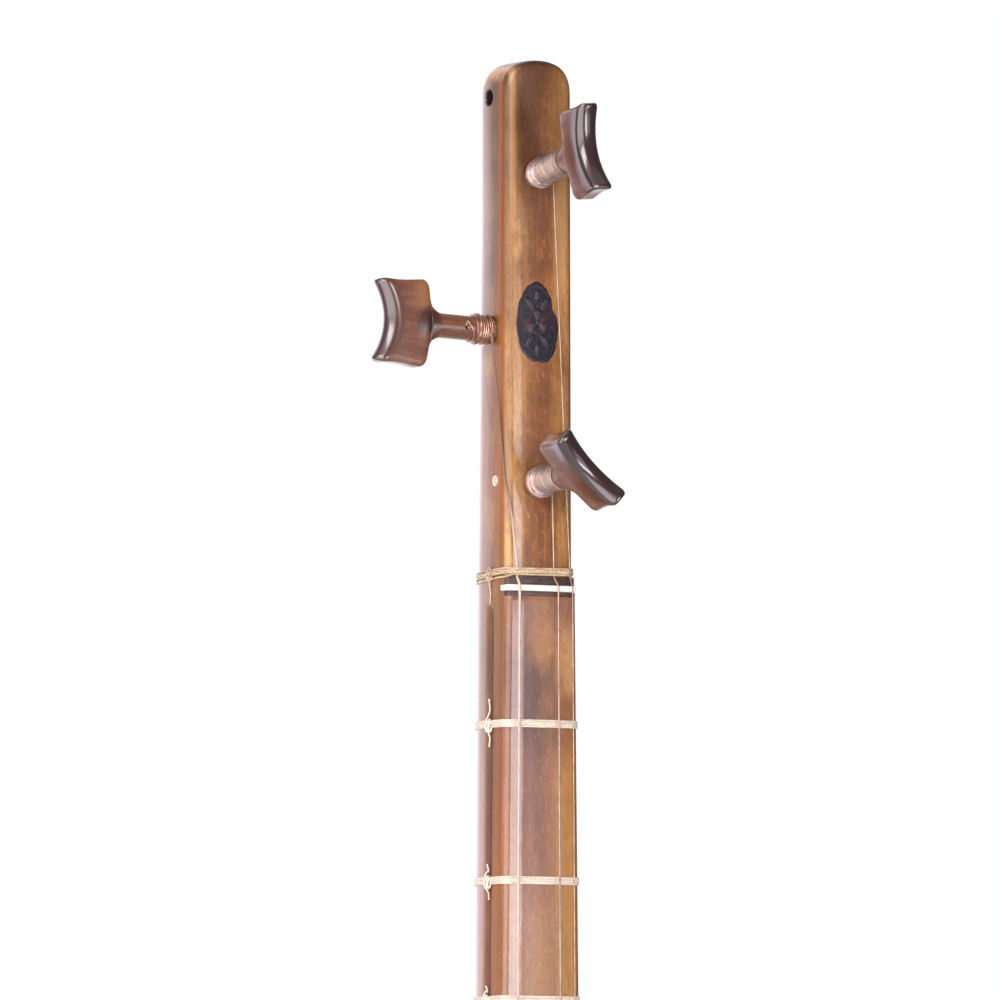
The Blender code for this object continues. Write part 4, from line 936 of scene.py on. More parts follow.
cutters = [
    block("tmp_nut_slot", (-15, -20, NUT_Z - 0.03), (15, -NUT_FLOOR + 0.03, NUT_Z + NUT_SEEN + 0.03)),
    loft("tmp_hang", turned_rings([(2.6, -10.6), (2.2, -9.72), (1.9, -9.3), (1.9, 9.3), (2.2, 9.72), (2.6, 10.6)], axis_matrix((0, 0, 0), (1, 0, 0), (0, 0, 1)), 40), None),
]
PLUG_AT = (-9.89, -3.4, -98.9)
cutters.append(rod("tmp_plug", 1.56, -2.2, 2, axis_matrix(PLUG_AT, (-1, 0, 0), (0, 0, 1)), 32))

PEGS = {
    "top": dict(at=(-1.0, -HEAD_FRONT, -20.4), roll=5.5, half=11.4, broad=11.8, shoulder=18.0, corner=19.1, middle=26.4, tip=29.9, thick=5.9, through=21.0, winding=(1.1, 2.9, 3.85)),
    "side": dict(at=(-9.85, -1.4, -60.1), roll=0.9, half=10.8, broad=11.25, shoulder=18.8, corner=20.2, middle=30.9, tip=34.3, thick=5.6, through=20.7, winding=(0.6, 6.5, 3.75)),
    "low": dict(at=(-0.7, -HEAD_FRONT, -99.5), roll=45.2, half=11.5, broad=11.7, shoulder=15.8, corner=17.0, middle=25.6, tip=28.0, thick=5.6, through=21.6, winding=(0.6, 2.4, 3.85)),
}
TILT = {"top": 10.9, "side": 2.7, "low": 5.3}
LEAN = {"top": 3.5, "side": 0.0, "low": 2.4}


def outward(label):
    lift, turn = math.radians(TILT[label]), math.radians(LEAN[label])
    if label == "side":
        return (-math.cos(lift), 0.0, math.sin(lift))
    return (math.sin(turn) * math.cos(lift), -math.cos(turn) * math.cos(lift), math.sin(lift))


for label, peg in PEGS.items():
    side = (1, 0, 0) if label != "side" else (0, -1, 0)
    peg["out"] = outward(label)
    peg["base"] = axis_matrix(peg["at"], peg["out"], side)
    peg["turn"] = peg["base"] @ Matrix.Rotation(math.radians(peg["roll"]), 4, "Z")
    cutters.append(loft(f"tmp_bore_{label}", turned_rings([(3.3, -30), (3.3, -0.35), (3.6, 0.0), (4.2, 0.8)], peg["base"], 48), None))
cut(neck, [block("tmp_tenon", (-8, -4.5, HEEL_Z - 14.0), (8, 14, HEEL_Z + 3))], "UNION")
cut(neck, cutters)
shade(neck, 35)
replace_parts(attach(neck, "root"), "neck")


# ======================================================================== fingerboard, nut, strips
def overlay_ring(half, back, plane, corner, under, front_r, side_r, z):
    """Section of a thin piece lying on the stem's flat: crowned front, rounded corners, sides in line with the stem's."""
    left = corner_arc(half, plane, back, corner, front_r, side_r, 8)
    x0, y0 = left[-1]
    side = []
    for i in range(1, 5):
        y = y0 + (under - y0) * i / 4
        side.append((-half + (back - y) ** 2 / (2 * side_r), y))
    broad = right_half(half)
    right = corner_arc(broad, plane, back, corner, front_r, 0.0, 8)
    y1 = right[-1][1]
    right += [(-broad, y1 + (under - y1) * i / 4) for i in range(1, 5)]
    outer = left + side
    ring = [(-x, y) for x, y in right] + [(x, y) for x, y in reversed(outer)]
    xl, xr = left[0][0], -right[0][0]
    for i in range(1, 18):
        x = xl + (xr - xl) * i / 18
        ring.append((x, -plane + x * x / (2 * front_r)))
    return at_z(ring, z)


rings = []
stations = [BOARD_TOP + 0.15, BOARD_TOP + 0.05, -130.0]
stations += [-136.0 - 8.0 * i for i in range(36)]
z = -424.0
while z > HEEL_Z + 3:
    stations.append(z)
    z -= 3.0
stations += [HEEL_Z + 0.16, HEEL_Z + 0.06]
for i, z in enumerate(stations):
    half, straight, deep, plane = neck_shape(z)
    back = -plane + straight
    small = 0.06 if i in (0, len(stations) - 1) else 0.0
    rings.append(overlay_ring(half - small, back, FRONT - small, 1.75, -(FRONT - BOARD_THICK) + 0.16, crown_r(z), bow_r(z), z))
board = loft("fingerboard_visual", rings, BOARD_MAT)
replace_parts(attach(board, "root"), "fingerboard")


def strip_piece(name, node, top, low, plane, corner, half_of):
    rings = []
    for z, small in ((top, 0.05), (top - 0.06, 0.0), (low + 0.06, 0.0), (low, 0.05)):
        half, straight, deep, base = neck_shape(half_of)
        back = -base + straight
        rings.append(overlay_ring(half - small, back, plane - small, corner, -7.97, CROWN_R, SIDE_R, z))
    made = loft(name, rings, STRIP_MAT)
    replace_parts(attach(made, "root"), node)
    return made


strip_piece("nut_strip_upper_visual", "nut_strip_upper", STRIP_UPPER[0], NUT_Z + NUT_SEEN + 0.05, 9.24, 2.1, -123.0)
strip_piece("nut_strip_lower_visual", "nut_strip_lower", STRIP_LOWER[0] + 0.15, STRIP_LOWER[1], FRONT + 0.02, 1.75, -128.0)

STRING_X = {"bass": (-6.98, -14.2), "treble_1": (4.42, 4.6), "treble_2": (8.62, 9.5)}
half = neck_half(0)
xs = sorted({round(v, 3) for v in [-half + d for d in (0.0, 0.06, 0.18, 0.36, 0.6, 0.9, 1.3)] + [half - 0.15 - d for d in (0.0, 0.06, 0.18, 0.36, 0.6, 0.9, 1.3)] + list(np.linspace(-half + 2, half - 1.8, 25))} | {round(x + d, 3) for x, _ in STRING_X.values() for d in (-0.5, -0.38, -0.28, -0.15, 0.0, 0.15, 0.28, 0.38, 0.5)})
rings = []
for x in xs:
    end = half + x if x < 0 else half - 0.15 - x
    round_in = 0.9 - math.sqrt(max(0.0, 0.81 - (0.9 - min(end, 0.9)) ** 2))
    top = -(NUT_TOP + 0.36) + 0.28 * (x / half) ** 2 + round_in
    for sx, _ in STRING_X.values():
        if abs(x - sx) < 0.42:
            top = max(top, -(NUT_TOP + 0.16) + (0.3 - math.sqrt(max(0.0, 0.176 - (x - sx) ** 2)) if abs(x - sx) > 0.3 else 0.0))
    zl, zh, r = NUT_Z + 0.02, NUT_Z + NUT_SEEN - 0.02, 0.5
    narrow = 0.12 * (1 - min(end, 0.4) / 0.4)
    zl, zh = zl + narrow, zh - narrow
    ring = [(x, -NUT_FLOOR, zl), (x, -NUT_FLOOR, zh)]
    for i in range(7):
        a = math.pi / 2 * i / 6
        ring.append((x, top + r - r * math.sin(a), zh - r + r * math.cos(a)))
    for i in range(7):
        a = math.pi / 2 * i / 6
        ring.append((x, top + r - r * math.cos(a), zl + r - r * math.sin(a)))
    rings.append(ring)
nut = loft("nut_visual", rings, BONE_MAT, smooth_angle=50)
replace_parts(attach(nut, "root"), "nut")


# ======================================================================== cords with their own route attribute
def routed(name, strands, mat, sides=10):
    """Round cords; each vertex knows how far along it is and where round the cord."""
    points, faces, marks, seams = [], [], [], []
    for number, (path, radius, closed) in enumerate(strands):
        path = np.asarray(path, float)
        rings = sweep_rings(path, radius, sides, closed)
        dist = np.concatenate([[0], np.cumsum(np.linalg.norm(np.diff(path, axis=0), axis=1))]) + number * 37.3
        dist = list(dist)
        if not closed:
            r0 = float(np.mean(np.atleast_1d(radius)))
            first, last = np.mean(rings[0], axis=0), np.mean(rings[-1], axis=0)
            d0, d1 = path[0] - path[1], path[-1] - path[-2]
            d0, d1 = d0 / np.linalg.norm(d0), d1 / np.linalg.norm(d1)
            rings = [[tuple(first + (np.array(p) - first) * 0.6 + d0 * r0 * 0.7) for p in rings[0]]] + rings
            rings += [[tuple(last + (np.array(p) - last) * 0.6 + d1 * r0 * 0.7) for p in rings[-1]]]
            dist = [dist[0], *dist, dist[-1]]
        p, f = rings_mesh(rings, closed, True, len(points))
        if closed:
            seams.append((len(faces) + len(f) - sides, len(points), dist[-1] + float(np.linalg.norm(path[0] - path[-1]))))
        points += p
        faces += f
        for value in dist:
            for j in range(sides):
                a = 2 * math.pi * j / sides
                marks.append((value, math.cos(a), math.sin(a)))
    made = mesh_piece(name, points, faces, mat, 60)
    used = np.empty(len(made.data.loops), np.int32)
    made.data.loops.foreach_get("vertex_index", used)
    values = np.array(marks, np.float32)[used]
    for face, first, full in seams:
        for polygon in made.data.polygons[face:face + sides]:
            for corner in polygon.loop_indices:
                if first <= used[corner] < first + sides:
                    values[corner, 0] = full
    layer = made.data.attributes.new("route", "FLOAT_VECTOR", "CORNER")
    layer.data.foreach_set("vector", values.ravel())
    return made


def filleted(points, radius_cut, steps=6):
    pts = [np.asarray(p, float) for p in points]
    out = [pts[0]]
    for a, b, c in zip(pts, pts[1:], pts[2:]):
        la, lc = np.linalg.norm(a - b), np.linalg.norm(c - b)
        d = min(radius_cut, 0.45 * la, 0.45 * lc)
        p, q = b + (a - b) / la * d, b + (c - b) / lc * d
        for i in range(steps + 1):
            t = i / steps
            out.append((1 - t) ** 2 * p + 2 * t * (1 - t) * b + t * t * q)
    out.append(pts[-1])
    return np.array(out)


# ======================================================================== tied gut frets
FRET_Z = [NUT_Z - SCALE * (1 - 2 ** (-c / 1200.0)) for c in FRET_CENTS]
GUT_R = 0.205


def hug(z, out, wobble, seed, plane=FRONT, extra_front=0.0):
    """Closed path of one gut turn round the stem."""
    half, straight, deep, base = neck_shape(z)
    back = -base + straight
    ring = section(half, back + plane, deep, plane, 1.75, out, crown_r(z) + out, bow_r(z))
    path = []
    n = len(ring)
    for i, (x, y) in enumerate(ring):
        t = 2 * math.pi * i / n
        wave = 0.6 * math.sin(3 * t + seed * 1.9) + 0.4 * math.sin(7 * t + seed * 3.7)
        path.append((x, y, z + wobble * wave))
    return path


def thin_out(path, least):
    """Drops points closer together than least."""
    kept = [path[0]]
    for p in path[1:]:
        if math.dist(p, kept[-1]) >= least:
            kept.append(p)
    if math.dist(kept[-1], kept[0]) < least * 0.6:
        kept.pop()
    return kept


def knot_strands(at, size, r, up, down, seed, out_x=-1.0):
    """Coils wrapped round the band at its knot, with two cut ends. at is the knot's middle on the stem's side."""
    x0, y0, z0 = at
    wide, high = size
    coils, turns, per = [], 3.2, 22
    for i in range(int(turns * per) + 1):
        a = 2 * math.pi * i / per + 0.6 * seed
        y = y0 - wide / 2 + wide * i / (turns * per)
        lump = 1.0 - 0.35 * (2 * (y - y0) / wide) ** 2
        coils.append((x0 + out_x * (0.42 + 0.52 * lump * math.cos(a)), y + 0.10 * math.sin(a * 0.5 + seed), z0 - 0.25 + high * lump * math.sin(a)))
    first, last = coils[0], coils[-1]
    tail_up = catmull([coils[-2], last, (x0 + out_x * 0.9, y0 + 0.5, z0 + high * 0.7), (x0 + out_x * 0.30, y0 + 0.25, z0 + high + 0.8), (x0 + out_x * 0.12 + 0.2, y0 + 0.15 + 0.2 * noise1(seed), z0 + up * 0.6), (x0 + out_x * 0.25, y0 + 0.1 + 0.5 * noise1(seed, 2), z0 + up)], 6)
    tail_down = catmull([coils[1], first, (x0 + out_x * 0.8, y0 - 0.4, z0 - high * 0.8), (x0 + out_x * 0.30, y0 + 0.0, z0 - high - 0.8), (x0 + out_x * 0.15 + 0.15, y0 + 0.1 * noise1(seed, 1), z0 - down * 0.6), (x0 + out_x * 0.3, y0 - 0.2 + 0.5 * noise1(seed, 4), z0 - down)], 6)
    bar = catmull([(x0 + out_x * 0.3, y0 - wide * 0.55, z0 + high * 0.5), (x0 + out_x * 1.25, y0 - wide * 0.15, z0 + high * 0.25), (x0 + out_x * 1.25, y0 + wide * 0.2, z0 - high * 0.35), (x0 + out_x * 0.3, y0 + wide * 0.55, z0 - high * 0.55)], 8)
    return [(coils, r, False), (tail_up, r * 0.95, False), (tail_down, r * 0.95, False), (bar, r, False)]


for number, z in enumerate(FRET_Z, 1):
    near = number <= 2
    strands = []
    for turn in range(5):
        zt = z + (turn - 2.0) * 0.405
        path = hug(zt, GUT_R + 0.055, 0.018, number * 4 + turn)
        strands.append((thin_out(path, 0.3 if near else 0.8), GUT_R, True))
    half = neck_shape(z)[0]
    back = -neck_shape(z)[3] + neck_shape(z)[1]
    yk = -FRONT + GROOVE_BACK - 0.3
    xs_ = -half + (back - yk) ** 2 / (2 * bow_r(z))
    up, down = (6.6, 5.6) if number == 1 else (4.4, 4.6) if number == 2 else (3.4 + 0.9 * noise1(number, 3), 3.6 + 0.8 * noise1(number, 6))
    strands += knot_strands((xs_ - 0.2, yk, z - 0.25), (2.5, 1.7), 0.25, up, down, number * 1.0)
    fret = routed(f"fret_{number:02d}_gut", strands, GUT_MAT, 10 if near else 6)
    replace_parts(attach(fret, f"fret_{number:02d}_band"), f"fret_{number:02d}")

# ======================================================================== tie above the nut
strands = []
half, straight, deep, plane = neck_shape(-122.0)
back = -plane + straight
ring = section(half, straight, deep, plane, HEAD_CORNER, 0.36, CROWN_R, SIDE_R)
n = len(ring)
for turn in range(5):
    path = []
    for i, (x, y) in enumerate(ring):
        t = 2 * math.pi * i / n
        front = max(0.0, 1.0 - max(0.0, (y + plane) / 2.2)) if y < -plane + 2.2 else 0.0
        base = (turn - 2.0) * 0.43
        cross = 0.10 * math.sin(t + turn * 1.3 + 0.7) + 0.06 * math.sin(3 * t + turn * 2.1)
        cross += (0.55 if turn == 0 else 0.25 if turn == 4 else 0.0) * smooth((abs(x) - 8.2) / 1.4) * (-1 if turn == 0 else 1)
        sag = 1.5 * max(0.0, (y + plane) / (straight + deep))
        layer = 0.12 * math.cos(2 * t + turn * 1.7)
        flat = smooth((10.3 - abs(x)) / 2.6) if front > 0 else 0.0
        y += (min(y, -(plane + 1.2)) - y) * flat
        path.append((x * (1 + layer * 0.01), y - 0.04 * front * math.cos(3 * t + turn * 1.3), TIE_Z + base * 0.9 + cross - sag))
    strands.append((thin_out(path, 0.3), 0.25, True))
yk = -1.9
xk = -half + (back - yk) ** 2 / (2 * SIDE_R)
strands += knot_strands((xk - 0.25, yk, TIE_Z - 0.9), (2.0, 1.25), 0.24, 2.0, 7.4, 17.0)
tie = routed("string_tie_gut", strands, TIE_MAT, 10)
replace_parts(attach(tie, "root"), "string_tie")


# ======================================================================== pegs
def rounded_rect(v_half, w_half, corner, n_long=20, n_short=8, n_corner=6):
    """Points anticlockwise from the middle of the right end."""
    corner = min(corner, 0.98 * v_half, 0.98 * w_half)
    quarter = []
    for i in range(n_short // 2):
        quarter.append((v_half, (w_half - corner) * i / (n_short // 2)))
    for i in range(n_corner + 1):
        a = math.pi / 2 * i / n_corner
        quarter.append((v_half - corner + corner * math.cos(a), w_half - corner + corner * math.sin(a)))
    for i in range(1, n_long // 2):
        quarter.append(((v_half - corner) * (1 - i / (n_long // 2)), w_half))
    top = [(0.0, w_half)]
    right = quarter
    left = [(-v, w) for v, w in reversed(quarter)]
    upper = right + top + left
    lower = [(-v, -w) for v, w in upper[1:-1]]
    return upper[:-1] + [upper[-1]] + lower if quarter[0][1] != 0 else upper + [(-v, -w) for v, w in upper[1:-1]]


def peg_piece(label, mat):
    peg = PEGS[label]
    turn = peg["turn"]
    half, broad, thick = peg["half"], peg["broad"], peg["thick"] / 2
    shoulder, corner, middle, tip = peg["shoulder"], peg["corner"], peg["middle"], peg["tip"]
    side_corner, low_r = 1.25, 1.35
    rim_r = 3.3 if label == "side" else 1.9  # how far the rim's rounding reaches down the faces
    bulge = 0.10 if label == "side" else 0.18

    def shoulder_u(v):
        return shoulder + (corner - shoulder) * (min(abs(v) / broad, 1.0)) ** 1.6

    def swell(v, s):  # the round shaft runs out in the blade's faces
        return 1.0 + bulge * math.exp(-((v / 3.0) ** 2)) * max(0.0, 1.0 - s) ** 2.2

    def rim_u(v):
        return middle + (tip - middle) * min(abs(v) / (half - 0.8), 1.12) ** 2.0

    outline = rounded_rect(broad, thick, side_corner)
    angles = [math.atan2(w / thick, v / broad) for v, w in outline]
    rings = []

    def put(points):  # (v, w, u) with u along the axis; v is the chord, w across the blade
        ring = []
        for v, w, u in points:
            p = turn @ Vector((w, v, u))
            ring.append(tuple(p))
        rings.append(ring)

    r = SHAFT_R

    def circle(radius, u):
        put([(radius * math.cos(a), radius * math.sin(a), u) for a in angles])

    circle(r - 1.1, -peg["through"])
    circle(r - 0.55, -peg["through"] + 0.08)
    circle(r - 0.2, -peg["through"] + 0.4)
    circle(r - 0.05, -peg["through"] + 1.0)
    for u in (-peg["through"] + 6, -6.0, -1.0, 1.0, 3.0, 5.0, 7.0, 9.0, shoulder - 6.0, shoulder - 4.4, shoulder - 3.5):
        circle(r, u)
    for i in range(15):  # the shaft opens into the blade
        m = (i / 14.0) ** 1.15
        ease = 0.012 + 0.988 * m
        pts = []
        for (v, w), a in zip(outline, angles):
            cv, cw = r * math.cos(a), r * math.sin(a)
            hollow = 1 - 0.10 * math.sin(math.pi * m)
            vv = cv + (v * (broad - low_r) / broad - cv) * ease
            ww = cw + (w * (thick - 0.35) / thick * swell(vv, 0.0) - cw) * min(1.0, ease * 1.25) * (1 + (hollow - 1) * (1 - m))
            u = shoulder_u(vv) - (shoulder_u(0) - (shoulder - 3.3)) * (1 - m) ** 5.0 * 1.0
            pts.append((vv, ww, u))
        put(pts)
    for i in range(1, 7):  # rounded edge between shoulder and side
        a = math.pi / 2 * i / 6
        grow = low_r * (1 - math.sin(a))
        pts = []
        for v, w in rounded_rect(broad - grow, thick - 0.35 * (1 - math.sin(a)), side_corner):
            pts.append((v, w * swell(v, 0.0), shoulder_u(v) + low_r * (1 - math.cos(a))))
        put(pts)
    wall = 14
    for i in range(1, wall + 1):
        s = i / wall
        wide = broad + (half - broad) * smooth(s) - 0.22 * math.sin(math.pi * s)
        t = thick * (1 - 0.055 * math.sin(math.pi * s) + 0.012 * s)
        pts = []
        for v, w in rounded_rect(wide, t, side_corner):
            low, high = shoulder_u(v) + low_r, rim_u(v) - rim_r
            pts.append((v, w * swell(v, s), low + (high - low) * s))
        put(pts)
    t = thick * 1.012
    for i in range(1, 19):  # elliptical rim across the blade, tighter rounding at the two tips
        a = math.pi / 2 * i / 18
        away = 1 - math.cos(a)
        wide = max(0.04, t * math.cos(a))
        pts = []
        for v, w in rounded_rect(half - 1.3 * away, wide, min(side_corner, 0.9 * wide)):
            pts.append((v, w, rim_u(v) - rim_r + (rim_r + 0.3) * math.sin(a)))
        put(pts)
    made = mesh_piece(f"peg_{label}_wood", *rings_mesh(rings, strip_end=True), mat, 50)
    eye_dir = (0, 0, 1) if label != "side" else (0, -1, 0)
    spot = Vector(peg["at"]) + Vector(peg["out"]) * (peg["winding"][1] + 2.3)
    cut(made, [rod("tmp_eye", 0.55, -8, 8, axis_matrix(tuple(spot), eye_dir, (1, 0, 0)), 20)])
    shade(made, 50)
    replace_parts(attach(made, f"peg_{label}_turning"), f"peg_{label}")
    return made


# The rosewood pegs' three tones are lightened to a mauve brown: a painted reflection haze over the brown wood.
RED = (srgb(128, 96, 85), srgb(116, 82, 72), srgb(98, 64, 55), (srgb(92, 46, 36), srgb(52, 30, 33), 8.2))
GOLD = (srgb(124, 80, 58), srgb(106, 66, 50), srgb(78, 46, 38), (srgb(92, 56, 46), srgb(66, 42, 40), 5.0))


def peg_shape(label):
    return PEGS[label]["middle"], PEGS[label]["tip"], PEGS[label]["half"]


peg_piece("top", peg_wood("peg_top_rosewood", *RED, PEGS["top"]["turn"], peg_shape("top"), 1.0))
peg_piece("low", peg_wood("peg_low_rosewood", *RED, PEGS["low"]["turn"], peg_shape("low"), 2.0))
peg_piece("side", peg_wood("peg_side_walnut", *GOLD, PEGS["side"]["turn"], peg_shape("side"), 3.0, knot=((2.8, 0.6, 19.6), 2.6), warm=srgb(140, 92, 54)))


# ======================================================================== windings and strings
def helix(label, radius, u0, u1, turns, a0, per=40):
    base = PEGS[label]["base"]
    out = []
    count = int(abs(turns) * per)
    for i in range(count + 1):
        t = i / count
        a = a0 + 2 * math.pi * turns * t
        out.append(np.array(base @ Vector((radius * math.cos(a), radius * math.sin(a), u0 + (u1 - u0) * t))))
    return out


def front_winding(label, r):
    low, high, outer = PEGS[label]["winding"]
    base = PEGS[label]["base"]
    first = SHAFT_R + r + 0.02
    second = first + 1.74 * r
    a_end = 0.0  # towards the right: where the string leaves
    turns1, turns2 = 4.5, 4.2
    lay1 = helix(label, first, low + r, high - r, turns1, 0.3)
    lay2 = helix(label, second, low + r * 1.6, high - r * 2.0, turns2, 0.0)
    eye_u = high + 2.3
    away = [np.array(base @ Vector((first * math.cos(a), first * math.sin(a), u))) for a, u in ((0.3 + 2 * math.pi * turns1, high - r), (0.3 + 2 * math.pi * turns1 + 0.35, high + 0.25), (0.3 + 2 * math.pi * turns1 + 0.8, high + 1.1), (math.pi / 2 + 2 * math.pi * 5, eye_u - 0.1))]
    away.append(np.array(base @ Vector((0, first * 0.7, eye_u))))
    loose = helix(label, first, high + 0.2, high + 1.7, 3.3, 1.1)
    cross = helix(label, first + 1.9 * r, high - 0.3, high + 1.5, 1.3, 2.6)
    return [(lay1, r, False), (lay2, r, False), (catmull(away, 8), r, False), (loose, r, False), (cross, r, False)]


for label, name in (("top", "treble_2"), ("low", "treble_1")):
    made = routed(f"winding_{label}_steel", front_winding(label, STRING_R[name]), STEEL_MAT, 8)
    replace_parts(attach(made, f"peg_{label}_turning"), f"winding_{label}")
    u0, u1 = PEGS[label]["winding"][1] + 0.1, PEGS[label]["shoulder"] - 3.3
    turns = (u1 - u0) / 0.45
    cover = helix(label, SHAFT_R + 0.16, u0, u1, turns, 0.9, 26)
    cover = [p + np.array((0.03 * math.sin(0.37 * i), 0.03 * math.cos(0.53 * i), 0.05 * math.sin(0.21 * i))) for i, p in enumerate(cover)]
    made = routed(f"winding_{label}_cover", [(cover, 0.2, False)], WORN_STEEL, 7)
    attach(made, f"peg_{label}_turning")

r = 0.3
low, high, _ = PEGS["side"]["winding"]
base = PEGS["side"]["base"]
first = SHAFT_R + r - 0.05
lay1 = helix("side", first, low + r, high - r, 8.8, 0.5)
lumps = []
for u0, u1, turns, a0, rise in ((1.6, 2.5, 1.7, 0.0, 1.2), (4.5, 4.9, 1.1, 1.2, 1.2)):
    lumps.append((helix("side", first + rise * r, u0, u1, turns, a0), r, False))
eye_u = high + 2.3
end = 0.5 + 2 * math.pi * 8.8
away = [np.array(base @ Vector((first * math.cos(a), first * math.sin(a), u))) for a, u in ((end, high - r), (end + 0.4, high + 0.3), (end + 0.9, high + 1.3), (end + 1.3, eye_u + 0.2))]
away.append(np.array(base @ Vector((first * 1.02, 0.5, eye_u + 0.3))))
away.append(np.array(base @ Vector((first * 0.7, 0.1, eye_u))))
curl = []
for i in range(34):
    a = 2 * math.pi * i / 15
    p = base @ Vector((first + 0.25 + 0.42 * math.cos(a), -0.25 + 0.5 * math.sin(a), eye_u - 0.5 + i * 0.03))
    curl.append(np.array(p))
curl = curl[:18]
strands = [(lay1, r, False), *lumps, (catmull(away, 8), r, False), (curl, 0.18, False)]
made = routed("winding_side_bronze", strands, BRONZE_COIL, 8)
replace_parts(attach(made, "peg_side_turning"), "winding_side")

PIN_Y = 7.0
HOLDER_Z = TAIL_Z - 0.6
PINS_X = {"bass": -12.5, "treble_1": 4.2, "treble_2": 10.5}
SADDLE_TOP = FRONT + 1.6


def string_path(name, start, extra):
    r = STRING_R[name]
    x_nut, x_bridge = STRING_X[name]
    lift = 0.2 + r
    nut = -(NUT_TOP + lift)
    top = -(FRONT + 0.2 + BRIDGE_HIGH + lift)
    tie = -(HEAD_FRONT + 0.22 + r)
    x_tie = x_nut + (start[0] - x_nut) * 0.05 + {"bass": 0.3, "treble_1": -0.4, "treble_2": 0.3}[name]
    x_tail = x_bridge + (x_bridge - x_nut) * (BRIDGE_Z - TAIL_Z - 3) / SCALE * 0.3
    saddle = -(SADDLE_TOP + lift)
    pin = PINS_X[name]
    route = [start, *extra]
    route += [(x_tie, tie, TIE_Z + 1.6), (x_tie, tie, TIE_Z - 1.3)]
    route += [(x_nut, nut, NUT_Z + NUT_SEEN - 0.2), (x_nut, nut, NUT_Z + 0.2)]
    route += [(x_bridge, top, BRIDGE_Z + 1.6), (x_bridge, top, BRIDGE_Z - 1.6)]
    route += [(x_tail, saddle, TAIL_Z + 4.4), (x_tail, saddle + 0.25, TAIL_Z + 1.4)]
    route += [(x_tail, -FRONT - 0.6, TAIL_Z - lift - 0.3), ((x_tail + pin) / 2, -4.0, TAIL_Z - lift - 0.9)]
    side = 1.35 + r + 0.05
    route += [(pin + side, 2.0, HOLDER_Z - 4.2 - 0.75), (pin + side, PIN_Y - 0.8, HOLDER_Z - 4.2 - 0.75)]
    return route


def with_loop(name, path):
    """The string's end: round its pin and twisted back on itself."""
    r = STRING_R[name]
    pin = PINS_X[name]
    z = HOLDER_Z - 4.2 - 0.75
    around = []
    for i in range(25):
        a = 1.3 * math.pi * i / 24
        around.append((pin + (1.0 + r) * math.cos(a), PIN_Y + (1.0 + r) * math.sin(a), z + 0.1 * math.sin(a)))
    main = filleted(list(path) + around[1:], 0.8)
    twist = []
    for i in range(60):
        t = i / 59
        a = 2 * math.pi * 5 * t
        y = PIN_Y - 1.2 - 4.0 * t
        twist.append((pin + 1.35 + r + 0.05 + 2.05 * r * math.cos(a), y, z + 2.05 * r * math.sin(a)))
    link = catmull([around[-1], (pin - 0.6, PIN_Y - 1.0, z - 0.1), (pin + 0.6, PIN_Y - 1.2, z - 0.2), twist[0]], 6)
    return [(main, r, False), (link, r * 0.95, False), (twist, r * 0.95, False)]


def departure(label, along, side, reach):
    peg = PEGS[label]
    at = Vector(peg["at"]) + Vector(peg["out"]) * along
    return tuple(at + Vector(side) * reach)


def subdivided(path, longest):
    out = [path[0]]
    for a, b in zip(path, path[1:]):
        count = max(1, int(math.ceil(np.linalg.norm(b - a) / longest)))
        for i in range(1, count + 1):
            out.append(a + (b - a) * i / count)
    return np.array(out)


start = departure("side", 2.2, (0, -1, 0), SHAFT_R + 0.3 + 1.3 * 0.3 + 0.05)
start = (start[0], start[1], start[2] + 0.4)
half, straight, deep, plane = neck_shape(-100.0)
corner_x, corner_y = -half + HEAD_CORNER + 0.35, -plane + HEAD_CORNER + 0.12
wrap = HEAD_CORNER + STRING_R["bass"] + 0.12
around = []
for degrees, z in ((36.0, -99.0), (52.0, -103.0), (68.0, -108.0)):
    a = math.radians(degrees)
    around.append((corner_x - wrap * math.cos(a), corner_y - wrap * math.sin(a), z))
for name, route, mat, node in (
    ("bass", string_path("bass", start, around), BRONZE_MAT, "string_bronze"),
    ("treble_1", string_path("treble_1", departure("low", 1.1, (1, 0, 0.06), SHAFT_R + 0.6), []), TREBLE_MAT, "string_steel"),
    ("treble_2", string_path("treble_2", departure("top", 1.5, (1, 0, 0.06), SHAFT_R + 0.9), []), TREBLE_MAT, "string_steel"),
):
    strands = with_loop(name, route)
    strands[0] = (subdivided(strands[0][0], 6.0), strands[0][1], False)
    made = routed(f"string_{name}_wire", strands, mat, 10)
    made.visible_glossy = False
    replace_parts(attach(made, "root"), f"string_{name}")


# ======================================================================== plug and burnt oval on the head
def plug_wood():
    g = Graph("pale_plug")
    p = g.mm()
    grain = g.noise(p, (2.0, 2.0, 0.5), 4.0, 0.6)
    color = g.ramp(grain, [(0.35, srgb(190, 160, 132)), (0.5, srgb(216, 194, 172)), (0.65, srgb(228, 212, 194))])
    lacquered(g, color, grain, 0.35, 0.8, 0.1)
    return g.mat


spot = axis_matrix(PLUG_AT, (-1, 0, 0), (0, 0, 1))
plug = loft("side_plug_visual", turned_rings([(1.5, -2.0), (1.5, -0.12), (1.42, 0.02), (1.2, 0.10), (0.8, 0.16), (0.3, 0.18)], spot, 40), plug_wood(), smooth_angle=40)
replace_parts(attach(plug, "root"), "side_plug")


